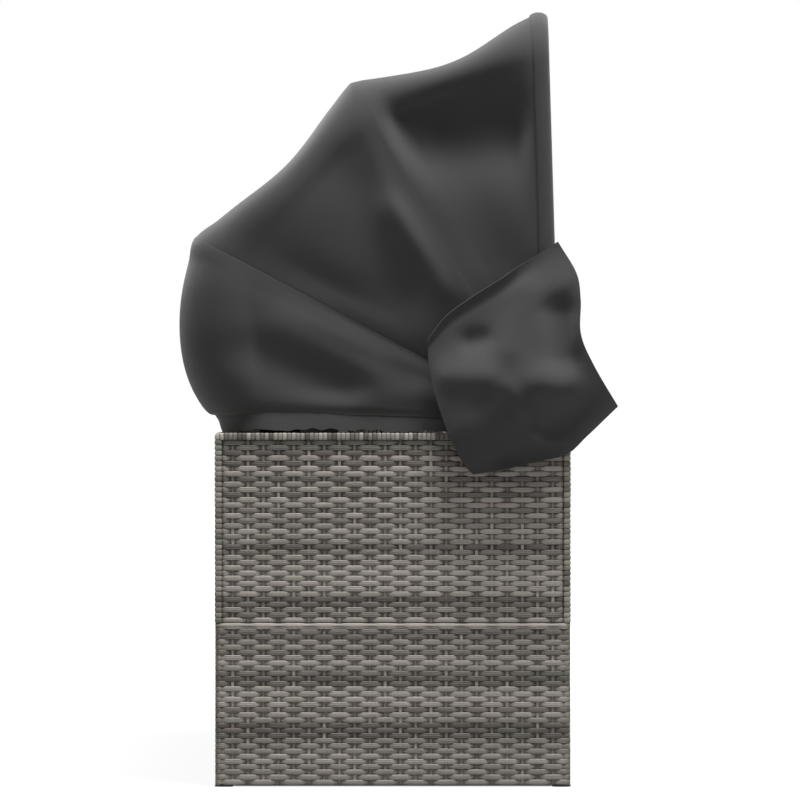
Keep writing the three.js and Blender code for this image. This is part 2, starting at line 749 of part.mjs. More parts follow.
const flapEdgeShares = {
  top: [[0.64, 0.352], [0.538, 0.457], [0.407, 0.536], [0.257, 0.613], [0.136, 0.681], [-0.047, 0.775]],
  front: [[-0.047, 0.775], [-0.142, 0.64], [-0.163, 0.527], [-0.163, 0.382], [-0.231, 0.249], [-0.362, 0.07]],
  foot: [[0.399, -0.221], [0.257, -0.204], [0.089, -0.17], [-0.089, -0.136], [-0.202, -0.055], [-0.362, 0.07]],
  rear: [[0.64, 0.352], [0.627, 0.236], [0.59, 0.099], [0.525, -0.055], [0.454, -0.17], [0.399, -0.221]],
};

function edgeCurve(shares) {
  return new THREE.SplineCurve(shares.map(([back_, up]) => new THREE.Vector2(
    pivotY + back_ * flapWidth, pivotZ + up * flapHeight)));
}

function flap(side) {
  const edge = {};
  for (const [name, shares] of Object.entries(flapEdgeShares)) edge[name] = edgeCurve(shares);
  const corner = (name, share) => edge[name].getPoint(share);
  const rows = [];
  for (let i = 0; i <= flapCells; i += 1) {
    const s = i / flapCells;
    const row = [];
    for (let j = 0; j <= flapCells; j += 1) {
      const t = j / flapCells;
      const point = corner('top', s).multiplyScalar(1 - t).add(corner('foot', s).multiplyScalar(t))
        .add(corner('rear', t).multiplyScalar(1 - s)).add(corner('front', t).multiplyScalar(s))
        .sub(corner('top', 0).multiplyScalar((1 - s) * (1 - t)))
        .sub(corner('top', 1).multiplyScalar(s * (1 - t)))
        .sub(corner('foot', 0).multiplyScalar((1 - s) * t)).sub(corner('foot', 1).multiplyScalar(s * t));
      const billow = flapBillow * (Math.sin(Math.PI * s) * (0.35 + 0.65 * Math.sin(Math.PI * 0.8 * t)));
      const ripple = flapBillow * 0.3 * s * hump(t, 0.5, 0.25);
      const standoff = benchLength / 2 + flapStandoff + billow + ripple;
      row.push([0, flapThickness].map(
        (depth) => new THREE.Vector3(side * (standoff + depth), point.x, point.y)));
    }
    rows.push(row);
  }
  return doubleSheet(rows);
}

for (const [hand, side] of [['left', -1], ['right', 1]]) {
  place(`${hand}_pivot_flap`, flap(side), 'canopy_cloth');
}

// Cushions: a crowned pad whose sides draw in between its corners

const swell = (share) => 1 - (2 * share - 1) ** 4;

function pad({ width, depth, wall, crownTop, crownFoot, columns, rowCount }) {
  const rows = [];
  for (let i = 0; i <= columns; i += 1) {
    const u = i / columns;
    const row = [];
    for (let j = 0; j <= rowCount; j += 1) {
      const v = j / rowCount;
      const corner = padCorner * (2 * u - 1) ** 8 * (2 * v - 1) ** 8;
      const x = (2 * u - 1) * (width / 2 - padDrawIn * (1 - (2 * v - 1) ** 2) - corner);
      const y = (2 * v - 1) * (depth / 2 - padDrawIn * (1 - (2 * u - 1) ** 2) - corner);
      const round = Math.sqrt(swell(u) * swell(v));
      row.push([new THREE.Vector3(x, y, -wall / 2 - crownFoot * round),
        new THREE.Vector3(x, y, wall / 2 + crownTop * round)]);
    }
    rows.push(row);
  }
  return doubleSheet(rows);
}

const seatWidth = 2 * (armInner - seatEdgeGap);
const seatDepth = benchDepth / 2 + backFront - 2 * seatEdgeGap;
const seatPad = pad({ width: seatWidth, depth: seatDepth, wall: seatThickness - seatCrown, crownTop: seatCrown,
  crownFoot: 0, columns: 16, rowCount: 6 });
const seatFoot = deckTop + clearance;
const seatMiddle = backFront - seatEdgeGap - seatDepth / 2;
const pillowOffset = armInner - pillowInset;
place('seat_cushion', seatPad, 'cushion_cloth')
  .position.set(0, seatMiddle, seatFoot + (seatThickness - seatCrown) / 2);

// Height of the seat cushion's crown at a place on it.
function seatTopAt(x, y) {
  const round = Math.sqrt(swell(x / seatWidth + 0.5) * swell((y - seatMiddle) / seatDepth + 0.5));
  return seatFoot + seatThickness - seatCrown + seatCrown * round;
}

for (const [hand, side] of [['left', -1], ['right', 1]]) {
  const pillow = pad({ width: pillowSize, depth: pillowHeight, wall: pillowWall, crownTop: pillowCrown,
    crownFoot: pillowCrown, columns: 8, rowCount: 8 });
  pillow.rotateX(THREE.MathUtils.degToRad(90 - pillowTilt));
  pillow.computeBoundingBox();
  const { min, max } = pillow.boundingBox;
  const pillowY = backFront - max.y;
  const pillowZ = seatTopAt(pillowOffset, pillowY + min.y / 2) + clearance - min.z;
  place(`${hand}_pillow`, pillow, 'cushion_cloth').position.set(side * pillowOffset, pillowY, pillowZ);
}

export default lounger;
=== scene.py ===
"""Canopy sun lounger: woven bench, wrapped rims, folding cloth canopy and cushions, round its CAD frame."""

import json
import math

import bmesh
import bpy
import numpy as np
from bpy.props import FloatProperty, FloatVectorProperty, IntProperty, PointerProperty
from mathutils import Matrix, Vector


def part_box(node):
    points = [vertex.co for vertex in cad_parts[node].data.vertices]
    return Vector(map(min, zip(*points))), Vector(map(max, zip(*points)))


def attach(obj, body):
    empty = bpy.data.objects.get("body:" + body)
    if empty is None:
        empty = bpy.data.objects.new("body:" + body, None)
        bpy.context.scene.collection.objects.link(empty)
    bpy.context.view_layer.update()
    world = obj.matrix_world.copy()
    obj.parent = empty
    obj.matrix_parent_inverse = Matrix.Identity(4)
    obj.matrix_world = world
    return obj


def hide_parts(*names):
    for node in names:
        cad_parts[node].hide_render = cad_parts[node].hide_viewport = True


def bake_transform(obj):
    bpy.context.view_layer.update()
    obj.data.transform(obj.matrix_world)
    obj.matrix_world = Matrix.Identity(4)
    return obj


bl_info = {
    "name": "Canopy Sun Lounger",
    "version": (1, 0, 0),
    "blender": (4, 5, 0),
    "location": "View3D > Sidebar > Lounger",
    "description": "Dresses the frame of a woven sun lounger with weave, canopy cloth and cushions",
    "category": "Add Mesh",
}

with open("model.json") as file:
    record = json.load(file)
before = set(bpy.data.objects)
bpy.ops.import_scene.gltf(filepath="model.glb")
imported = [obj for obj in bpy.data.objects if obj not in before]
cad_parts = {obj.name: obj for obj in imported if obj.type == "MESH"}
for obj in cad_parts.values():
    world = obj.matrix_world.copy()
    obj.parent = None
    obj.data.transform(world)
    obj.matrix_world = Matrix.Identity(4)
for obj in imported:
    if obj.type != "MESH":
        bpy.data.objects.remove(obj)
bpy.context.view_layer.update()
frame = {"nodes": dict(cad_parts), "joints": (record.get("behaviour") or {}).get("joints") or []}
MM = 0.001
# Keeps a division by a length from failing at a length of 0.
TINY = 1e-9


def linear(*levels):
    """A colour written as 0 to 255 levels, as the renderer's linear light."""
    shares = [level / 255 for level in levels]
    return tuple(s / 12.92 if s <= 0.04045 else ((s + 0.055) / 1.055) ** 2.4 for s in shares)


def opaque(colour):
    return (*colour, 1.0)


# Settings a user would change


def length(name, description, millimetres):
    return FloatProperty(name=name, description=description, default=millimetres * MM, unit="LENGTH",
                         precision=4)


def colour(name, description, *levels):
    return FloatVectorProperty(name=name, description=description, default=linear(*levels), subtype="COLOR",
                               size=3, min=0.0, max=1.0)


class WeaveSettings(bpy.types.PropertyGroup):
    row_pitch: length("Row pitch", "Distance from one woven row to the next", 8.35)
    upright_pitch: length("Upright pitch", "Distance from one upright strand to the next", 24.4)
    float_width: length("Float width", "Width of a strand where it passes over an upright", 9.1)
    neck_width: length("Neck width", "Width of a strand where it passes behind an upright", 8.5)
    strand_thickness: length("Strand thickness", "Thickness of a flat strand", 1.2)
    upright_width: length("Upright width", "Width of an upright strand", 5.6)
    wrap_pitch: length("Wrap pitch", "Distance from one turn round a rim to the next", 7.2)
    post_pitch: length("Post pitch", "Distance from one turn round a post to the next", 8.3)
    corner_radius: length("Corner radius", "Radius of the rims' outer corners", 6)
    light: colour("Light strands", "Colour of the lightest strands", 166, 158, 151)
    dark: colour("Dark strands", "Colour of the darkest strands", 82, 75, 70)
    green: colour("Aged tint", "Grey-green tint of some strands", 124, 125, 113)


class CanopySettings(bpy.types.PropertyGroup):
    cloth_thickness: length("Cloth thickness", "Thickness of the canopy cloth", 1.2)
    cloth: colour("Cloth", "Colour of the canopy cloth", 61, 61, 61)


class CushionSettings(bpy.types.PropertyGroup):
    cover: colour("Cover", "Colour of the cushion covers", 82, 82, 84)
    piping_radius: length("Piping radius", "Radius of the cord sewn into the seams", 2.6)
    draw_in: length("Draw in", "How far inside its final size a cover starts", 3)
    swell_cap: length("Swell cap", "Furthest that the filling may push the cover", 14)
    pressure: FloatProperty(name="Pressure", description="Pressure of the filling", default=4.0)
    swell_frames: IntProperty(name="Swell frames", description="Steps of the cloth simulation", default=20)


class StageSettings(bpy.types.PropertyGroup):
    camera_distance: length("Camera distance", "From the near end of the bench to the camera", 12000)
    view_width: length("View width", "Width seen at the near end of the bench", 1280)
    aim_height: length("Aim height", "Height of the middle of the picture", 619)
    aim_depth: length("Aim depth", "Place of the middle of the picture across the bench", -11.6)


def settings(group):
    return getattr(bpy.context.scene, "lounger_" + group)


# Shader maths


class Value:
    """A number, colour or vector in a node tree. Sums on a number add Math nodes."""

    def __init__(self, nodes, socket):
        self.nodes = nodes
        self.socket = socket

    def __add__(self, other):
        return self.nodes.math("ADD", self, other)

    def __sub__(self, other):
        return self.nodes.math("SUBTRACT", self, other)

    def __rsub__(self, other):
        return self.nodes.math("SUBTRACT", other, self)

    def __mul__(self, other):
        return self.nodes.math("MULTIPLY", self, other)

    __radd__ = __add__
    __rmul__ = __mul__


class Nodes:
    """A node tree under construction."""

    def __init__(self, tree):
        self.tree = tree

    def node(self, kind, options=None, inputs=None, output=0):
        """Adds a node with its settings, then with the values or links of its sockets."""
        made = self.tree.nodes.new("ShaderNode" + kind)
        for key, value in (options or {}).items():
            setattr(made, key, value)
        for key, value in (inputs or {}).items():
            if isinstance(value, Value):
                self.link(value, made.inputs[key])
            else:
                made.inputs[key].default_value = value
        return Value(self, made.outputs[output])

    def link(self, value, socket):
        self.tree.links.new(value.socket, socket)

    def math(self, operation, *values):
        return self.node("Math", {"operation": operation}, dict(enumerate(values)))

    def seen_directly(self):
        """1 for rays from the camera and for what gloss and glass show."""
        path = self.node("LightPath").socket.node.outputs
        camera, gloss, glass = (Value(self, path[f"Is {kind} Ray"])
                                for kind in ("Camera", "Glossy", "Transmission"))
        return self.math("MAXIMUM", self.math("MAXIMUM", camera, gloss), glass)


class Shader(Nodes):
    """A node material under construction, with its Principled node already linked."""

    def __init__(self, name, roughness, metallic=0.0, specular=0.5):
        self.material = bpy.data.materials.new(name)
        self.material.use_nodes = True
        super().__init__(self.material.node_tree)
        self.surface = self.tree.nodes["Principled BSDF"]
        self.surface.inputs["Roughness"].default_value = roughness
        self.surface.inputs["Metallic"].default_value = metallic
        self.surface.inputs["Specular IOR Level"].default_value = specular

    def between(self, value, low, high):
        """0 below low, 1 above high, smooth in between."""
        return self.node("MapRange", {"interpolation_type": "SMOOTHSTEP"},
                         {"Value": value, "From Min": low, "From Max": high})

    def mix(self, share, first, second):
        first, second = (opaque(c) if isinstance(c, tuple) else c for c in (first, second))
        return self.node("Mix", {"data_type": "RGBA"}, {0: share, 6: first, 7: second}, 2)

    def darken(self, tint, share):
        """The colour times a number."""
        return self.node("VectorMath", {"operation": "SCALE"}, {0: tint, "Scale": share})

    def attribute(self, name):
        """The three numbers of a vector attribute."""
        return self.parts(self.node("Attribute", {"attribute_name": name}, output="Vector"))

    def parts(self, vector):
        split = self.node("SeparateXYZ", inputs={0: vector}).socket.node
        return [Value(self, socket) for socket in split.outputs]

    def vector(self, x, y, z):
        return self.node("CombineXYZ", inputs={"X": x, "Y": y, "Z": z})

    def place(self):
        return self.node("TexCoord", output="Object")

    def noise(self, vector, scale, detail=2.0, roughness=0.5):
        return self.node("TexNoise", inputs={"Vector": vector, "Scale": scale, "Detail": detail,
                                              "Roughness": roughness})

    def feed(self, name, value):
        """Feeds one of the Principled node's inputs."""
        self.link(value, self.surface.inputs[name])

    def bump(self, height, distance, strength=1.0):
        self.feed("Normal", self.node("Bump", inputs={"Height": height, "Distance": distance,
                                                       "Strength": strength}))


def wicker_material():
    """Flat plastic strands: each row has its own tone and a lengthwise grain, with painted shade on the edges
    and in the recesses.
    """
    weave = settings("weave")
    shader = Shader("woven_strand", 0.58, specular=0.3)
    along, across, tone = shader.attribute("strand")
    recess_shade, green, seed = shader.attribute("shade_and_wear")
    streak = shader.noise(shader.vector(along * 22, across * 3.2 + seed * 31, seed * 57), 1.0, 3.0, 0.6)
    patch = shader.noise(shader.vector(along * 9, seed * 43, tone * 5), 1.0, 1.0)
    lined = shader.between(seed, 0.35, 0.6)
    lines = shader.math("COSINE", across * (3 * math.pi)) * lined
    shade = tone + (streak - 0.5) * 0.85 + (patch - 0.5) * 0.45 + lines * 0.12
    tint = shader.mix(shade, tuple(weave.dark), tuple(weave.light))
    aged = shader.mix(shade, tuple(c * 0.45 for c in weave.green), tuple(c * 1.3 for c in weave.green))
    faded = shader.between(shader.noise(shader.vector(along * 7, seed * 91, 0.0), 1.0, 0.0), 0.62, 0.7)
    tint = shader.mix(green + faded * 0.4, tint, aged)
    # Painted shade: each strand is darker towards its edges, and darker still where it lies in a recess.
    edge = shader.between(shader.math("ABSOLUTE", across), 0.7, 1.0)
    kept = (1.0 - edge * 0.32) * (1.0 - recess_shade * 0.04) * (1.0 + shader.between(tone, 1.0, 1.6) * 0.35)
    shader.feed("Base Color", shader.darken(tint, kept))
    fine = shader.noise(shader.vector(along * 60, across * 9 + seed * 17, seed * 23), 1.0, 2.0)
    shader.bump(fine * 0.6 + lines * 0.4, 0.35 * MM)
    shader.feed("Roughness", 0.5 + streak * 0.16)
    return shader.material


def cloth_material(name, cloth, weave_size, sheen=0.0, mottle=0.1):
    """Plain woven polyester: fine warp and weft, slight mottling and creases in its bump."""
    shader = Shader(name, 0.82, specular=0.12)
    shader.surface.inputs["Sheen Weight"].default_value = sheen
    shader.surface.inputs["Sheen Roughness"].default_value = 0.5
    place = shader.place()
    along, across, seam = shader.attribute("cloth")
    cloudy = shader.noise(place, 7.0, 3.0, 0.55)
    fine = shader.noise(place, 900.0, 2.0, 0.6)
    kept = (1.0 - mottle / 2) + (cloudy - 0.5) * mottle + (fine - 0.5) * 0.12
    turn = 2 * math.pi / weave_size
    warp = shader.math("SINE", along * turn)
    weft = shader.math("SINE", across * turn)
    shader.feed("Base Color", shader.darken(cloth, kept * (1.0 + warp * weft * 0.05) * (1.0 - seam * 0.35)))
    shader.bump(warp * weft * 0.5 + fine * 0.4, 0.12 * MM, 0.7)
    shader.feed("Roughness", 0.74 + cloudy * 0.14)
    return shader.material


def painted_material(name, coat, roughness=0.42):
    """Powder coat: a fine orange peel, rubbed a little lighter in patches."""
    shader = Shader(name, roughness, 0.1, 0.5)
    place = shader.place()
    rub = shader.between(shader.noise(place, 38.0, 4.0, 0.6), 0.52, 0.75)
    shader.feed("Base Color", shader.mix(rub * 0.35, coat, tuple(min(1.0, c * 1.6) for c in coat)))
    shader.bump(shader.noise(place, 1400.0, 2.0), 0.05 * MM)
    shader.feed("Roughness", roughness + rub * 0.12)
    return shader.material


def zinc_material():
    """Zinc plated steel: turned bands and slight clouding."""
    shader = Shader("zinc", 0.32, 0.92, 0.5)
    place = shader.place()
    cloud = shader.noise(place, 160.0, 3.0, 0.6)
    shader.feed("Base Color", shader.mix(cloud, linear(150, 152, 154), linear(196, 198, 200)))
    shader.feed("Roughness", 0.26 + cloud * 0.2)
    shader.bump(shader.noise(place, 2200.0, 1.0), 0.03 * MM)
    return shader.material


def moulded_material():
    """Moulded black plastic with a fine spark texture."""
    shader = Shader("moulded_plastic", 0.55, specular=0.4)
    place = shader.place()
    spark = shader.noise(place, 1800.0, 2.0)
    cloud = shader.noise(place, 60.0, 2.0)
    shader.feed("Base Color", shader.mix(cloud, linear(24, 24, 25), linear(36, 36, 37)))
    shader.bump(spark, 0.06 * MM)
    shader.feed("Roughness", 0.48 + spark * 0.15)
    return shader.material


# Mesh helpers


def read_points(mesh):
    points = np.zeros(len(mesh.vertices) * 3)
    mesh.vertices.foreach_get("co", points)
    return points.reshape(-1, 3)


def write_points(mesh, points):
    mesh.vertices.foreach_set("co", np.asarray(points, np.float32).ravel())
    mesh.update()


def write_attribute(mesh, name, columns):
    """Stores three numbers a vertex, for a material to read."""
    count = len(mesh.vertices)
    values = np.stack([np.broadcast_to(column, count) for column in columns], axis=1).astype(np.float32)
    mesh.attributes.new(name, "FLOAT_VECTOR", "POINT").data.foreach_set("vector", values.ravel())


MATERIALS = {"wicker": "woven_strand", "canopy_cloth": "canopy_weave", "cushion_cloth": "cushion_weave"}


def new_piece(name, mesh, slot, body="frame", replaced=()):
    """A piece of the visual model, with its slot's material, its body and the nodes that it replaces."""
    piece = bpy.data.objects.new(name, mesh)
    bpy.context.scene.collection.objects.link(piece)
    mesh.materials.clear()
    mesh.materials.append(bpy.data.materials[MATERIALS[slot]])
    if replaced:
        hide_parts(*replaced)
    if body:
        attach(piece, body)
    return piece


def corners(node):
    """The low and the high corner of a CAD node's box, as arrays."""
    return (np.array(corner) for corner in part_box(node))


def face_outward(mesh):
    bm = bmesh.new()
    bm.from_mesh(mesh)
    bmesh.ops.recalc_face_normals(bm, faces=bm.faces)
    bm.to_mesh(mesh)
    bm.free()


def mesh_from(bm, name, rounded=True):
    """Turns what bm holds into a mesh, and frees bm."""
    mesh = bpy.data.meshes.new(name)
    bmesh.ops.recalc_face_normals(bm, faces=bm.faces)
    bm.to_mesh(mesh)
    bm.free()
    if rounded:
        mesh.shade_smooth()
    return mesh


def copies_of(bm, name, count):
    """A mesh of count copies of what bm holds, with each vertex's copy number and its place in the copy."""
    unit_mesh = mesh_from(bm, name)
    joined = bmesh.new()
    for _ in range(count):
        joined.from_mesh(unit_mesh)
    mesh = bpy.data.meshes.new(name)
    joined.to_mesh(mesh)
    joined.free()
    points = read_points(unit_mesh)
    bpy.data.meshes.remove(unit_mesh)
    return mesh, np.repeat(np.arange(count), len(points)), np.tile(points, (count, 1))


def smooth(share):
    """Rises from 0 to 1 as the share does, flat at both ends."""
    held = np.clip(share, 0.0, 1.0)
    return held * held * (3 - 2 * held)


def hump(share, middle, spread):
    """1 at the middle, falling off on both sides of it."""
    return np.exp(-(((share - middle) / spread) ** 2))


# Weave

UP = (0, 0, 1)
RING_SIDES = 6
STATIONS_PER_FLOAT = {"fine": 6, "medium": 5, "coarse": 3}
# How far a strand's middle line rises over an upright, and how far it dips behind one.
LIFT = 1.42 * MM
# How far the rows of a skirt bend round its corners.
SKIRT_CORNER = 6 * MM
# The edge bands above the rows of a skirt, from the lower one up.
BAND_HEIGHTS = (3.4 * MM, 6.6 * MM)
BAND_TONES = (0.75, 1.6)
# Rows under a rim, from the top down: their tones, and how many of them have the aged tint.
TOP_ROWS = (0.22, 0.34, 0.08, 0.7, 0.16, 0.85, 0.75)
AGED_ROWS, AGED_SHARE = 2, 0.6


class Face:
    """The middle face of a flat weave slab, for the directions that its rows run, face and stack in."""

    def __init__(self, node, run, out, stack):
        low, high = corners(node)
        self.node = node
        self.middle = (low + high) / 2
        self.run, self.out, self.stack = np.array(run), np.array(out), np.array(stack)
        self.length, self.height = (high - low) @ np.abs(self.run), (high - low) @ np.abs(self.stack)

    def place(self, run, out, stack):
        return (self.middle + run[:, None] * self.run + out[:, None] * self.out
                + (stack - self.height / 2)[:, None] * self.stack)


def tubes(name, length, count, stations):
    """Straight closed tubes along X. Gives the mesh and each vertex's place along, tube and turn round it."""
    bm = bmesh.new()
    upright = Matrix.Rotation(math.pi / 2, 4, "Y") @ Matrix.Rotation(math.pi / RING_SIDES, 4, "Z")
    bmesh.ops.create_circle(bm, segments=RING_SIDES, radius=1.0, matrix=upright)
    bmesh.ops.translate(bm, verts=bm.verts, vec=(-length / 2, 0, 0))
    bmesh.ops.spin(bm, geom=bm.verts[:] + bm.edges[:], cent=(0, 0, 0), axis=(1, 0, 0), angle=0,
                   dvec=(length / stations, 0, 0), steps=stations, use_duplicate=False)
    bmesh.ops.holes_fill(bm, edges=[e for e in bm.edges if e.is_boundary], sides=RING_SIDES)
    mesh, tube, points = copies_of(bm, name, count)
    return mesh, points[:, 0], tube, np.arctan2(points[:, 2], points[:, 1])


def ribbon(turn):
    """Offsets of a flat ribbon's section, in half thicknesses out and half widths across."""
    out, across = np.cos(turn), np.sin(turn)
    return np.sign(out) * np.abs(out) ** 0.7, np.sign(across) * np.abs(across) ** 0.7


def row_tones(count, random, top_rows=()):
    """A tone for each row: more light than dark, and the first under a rim as given."""
    tones = np.where(random.random_sample(count) < 0.38, random.uniform(0.05, 0.38, count),
                     random.uniform(0.55, 1.05, count))
    for i, tone in enumerate(top_rows):
        tones[count - 1 - i] = tone
    return tones


def weave_face(name, face, detail, seed, corner=0.0, bands=0, top_rows=()):
    """Strands along the face, passing over and under uprights, with edge bands at the top if asked."""
    weave = settings("weave")
    random = np.random.RandomState(seed)
    band_heights = np.array(BAND_HEIGHTS[:bands])
    woven_height = face.height - band_heights.sum()
    rows = round(woven_height / weave.row_pitch)
    pitch = woven_height / rows
    uprights = max(2, int((face.length - 2 * corner) // weave.upright_pitch))
    first = -(uprights - 1) / 2 * weave.upright_pitch
    half = face.length / 2
    straight = half - corner
    run_length = 2 * (straight + corner * math.pi / 4)
    stations = round(run_length / weave.upright_pitch) * STATIONS_PER_FLOAT[detail]
    mesh, along, row, turn = tubes(name, run_length, rows + bands, stations)
    out_share, across_share = ribbon(turn)
    from_middle = np.abs(along)
    band = row >= rows

    heights = np.concatenate([(np.arange(rows) + 0.5) * pitch,
                              woven_height + np.cumsum(band_heights) - band_heights / 2])
    spans = np.concatenate([np.full(rows, pitch), band_heights])
    tones = row_tones(rows + bands, random, top_rows)
    tones[rows:] = BAND_TONES[:bands]
    greens = random.uniform(0.0, 0.25, rows + bands)
    if top_rows:
        greens[-len(top_rows):] = 0.0
        greens[-AGED_ROWS:] = AGED_SHARE
    tone, green, chance = tones[row], greens[row], random.random_sample(rows + bands)[row]

    # 1 where the strand passes over an upright, -1 where it passes behind one. A band passes over every
    # second upright.
    place = (along - first) / weave.upright_pitch
    over = np.cos(np.pi * (place + row))
    over = np.where(band, np.cos(np.pi * place / 2) ** 2 * 2.6 - 0.9, over)
    over = np.clip(over, -1, 1)
    dive = smooth((-0.2 - over) / 0.75)

    # A skirt's rows wrap the corners, where they lie flat behind a groove. Other rows end under the rims.
    near_end = turned = groove = 0.0
    if corner:
        turned = smooth((from_middle - (straight - 4 * MM)) / (4 * MM))
        groove = np.where(band, 0, hump(from_middle, straight - 5.5 * MM, 2.6 * MM))
    else:
        near_end = smooth((from_middle - (half - 7 * MM)) / (6 * MM))
    lift = LIFT * np.tanh(2.6 * (over + np.where(band, 0.0, 0.55)))
    lift = lift * (1 - turned) + LIFT * 0.75 * turned - LIFT * groove
    lift = lift * (1 - near_end) - LIFT * 0.8 * near_end
    # Painted shade where a strand dips behind an upright, in the groove by a corner and where a row ends
    # under a rim.
    recess_shade = smooth((-0.5 - over) / 0.45) * (1 - turned)
    recess_shade = np.maximum(np.maximum(recess_shade, near_end * 1.6), groove)

    half_width = (weave.float_width + (weave.neck_width - weave.float_width) * dive) / 2
    half_width = half_width * (0.985 + 0.03 * chance)
    half_width = np.where(band, spans[row] / 2 * (0.86 + 0.1 * over), half_width)
    dive = np.where(band, 0.3 * dive, dive * (1 - turned))
    curl = (0.15 + 0.75 * dive) * MM * across_share ** 2
    out = lift - curl + out_share * weave.strand_thickness / 2
    wander = 0.22 * MM * np.sin(along * (9 + 8 * chance) + 30 * chance)
    wander = np.where(band, 0.3 * wander, wander)
    stack = heights[row] + wander + across_share * half_width
    stack = np.clip(stack, 0.2 * MM, face.height - 0.1 * MM)
    run = along
    if corner:
        bent = np.sign(along) * np.clip(from_middle - straight, 0, None) / corner
        run = np.clip(along, -straight, straight) + (corner + out) * np.sin(bent)
        out = (corner + out) * np.cos(bent) - corner
    write_points(mesh, face.place(run, out, stack))
    face_outward(mesh)

    # Painted shade on the edges spreads in where a strand dives behind an upright, so what shows of it
    # narrows to a tip.
    dive_shade = np.clip(2.3 * np.arccos(over) / math.pi - 1.2, 0.0, 0.85) * (1 - turned)
    dive_shade = np.where(band, 0.3 * dive_shade, dive_shade)
    write_attribute(mesh, "strand", (along + row * 0.37, across_share / (1 - dive_shade), tone))
    # Rows that turn round a corner get the grey-green tint: painted light, for the light from the side that
    # the turning strands catch.
    write_attribute(mesh, "shade_and_wear", (recess_shade, np.maximum(green, 0.7 * turned), chance))
    new_piece(name + "_strands", mesh, "wicker", replaced=[face.node])
    stand_uprights(name, face, rows, woven_height, uprights, first, random)


def stand_uprights(name, face, rows, woven_height, count, first, random):
    """The upright strands of a face, each bowed slightly away from the rows that pass over it."""
    weave = settings("weave")
    mesh, rise, column, turn = tubes(name + "_uprights", woven_height - 1 * MM, count, rows)
    out_share, across_share = ribbon(turn)
    level = (rise / woven_height + 0.5) * rows
    behind = np.cos(np.pi * (column + np.floor(np.clip(level, 0, rows - 1))))
    chance = random.random_sample(count)[column]
    out = -0.25 * MM * behind + out_share * weave.strand_thickness / 2
    run = first + column * weave.upright_pitch + across_share * weave.upright_width / 2
    write_points(mesh, face.place(run, out, rise + woven_height / 2))
    face_outward(mesh)
    tone = 0.2 + 0.25 * chance + 0.75 * smooth(3 * np.sin(rise * 23 + 40 * chance) - 2)
    write_attribute(mesh, "strand", (rise + column * 0.41, across_share, tone))
    # Each upright gets a little painted shade along its whole length.
    write_attribute(mesh, "shade_and_wear", (0.35, 0.1, 0.3 * chance))
    new_piece(name + "_uprights", mesh, "wicker")


class LOUNGER_OT_arm_and_back_weave(bpy.types.Operator):
    """Weaves the strands and uprights of the arm and back panels"""

    bl_idname = "lounger.arm_and_back_weave"
    bl_label = "Arm and back weave"

    def execute(self, context):
        for seed, (hand, side) in enumerate((("left", -1), ("right", 1))):
            for layer, way in (("outer", side), ("inner", -side)):
                face = Face(f"{hand}_arm_{layer}_weave", (0, way, 0), (way, 0, 0), UP)
                weave_face(f"{hand}_arm_{layer}", face, "fine", 40 + 7 * seed + len(layer) + way,
                           top_rows=TOP_ROWS)
        for layer, way in (("outer", 1), ("inner", -1)):
            face = Face(f"back_{layer}_weave", (-way, 0, 0), (0, way, 0), UP)
            weave_face(f"back_{layer}", face, "medium", 80 + way, top_rows=TOP_ROWS)
        return {"FINISHED"}


class LOUNGER_OT_base_weave(bpy.types.Operator):
    """Weaves the skirts round the base, whose rows wrap the corners, and the seat deck"""

    bl_idname = "lounger.base_weave"
    bl_label = "Base weave"

    def execute(self, context):
        for seed, (hand, side) in enumerate((("left", -1), ("right", 1))):
            face = Face(f"base_{hand}_weave", (0, side, 0), (side, 0, 0), UP)
            low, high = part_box(face.node)
            face.length = -2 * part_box("base_front_weave")[0].y - (high.x - low.x)
            weave_face(f"base_{hand}", face, "fine", 120 + seed, SKIRT_CORNER, len(BAND_HEIGHTS))
        for seed, (end, side) in enumerate((("front", -1), ("rear", 1))):
            face = Face(f"base_{end}_weave", (-side, 0, 0), (0, side, 0), UP)
            low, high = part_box(face.node)
            face.length -= high.y - low.y
            weave_face(f"base_{end}", face, "medium", 140 + seed, SKIRT_CORNER, len(BAND_HEIGHTS))
        weave_face("seat_deck", Face("seat_deck", (1, 0, 0), (0, 0, 1), (0, 1, 0)), "coarse", 160)
        return {"FINISHED"}


# Rims

# How far the long edges of a turn of strand are rounded.
ROUND_OVER = 2.4 * MM


def wrap_block(width, depth, height):
    """One turn of strand round a rim: a block along X with rounded long edges and eased sides."""
    bm = bmesh.new()
    bmesh.ops.create_cube(bm, size=1.0, matrix=Matrix.Diagonal((width * 1.02, depth, height, 1.0)))
    long_edges = [e for e in bm.edges if abs((e.verts[0].co - e.verts[1].co).normalized().x) > 0.9]
    bmesh.ops.bevel(bm, geom=long_edges, offset=ROUND_OVER, offset_type="OFFSET", segments=3, profile=0.5,
                    affect="EDGES", material=-1)
    ends = [f for f in bm.faces if abs(f.normal.x) > 0.9]
    rim_edges = list({e for f in ends for e in f.edges})
    bmesh.ops.bevel(bm, geom=rim_edges, offset=width * 0.24, offset_type="OFFSET", segments=2, profile=0.5,
                    affect="EDGES", material=-1)
    return bm


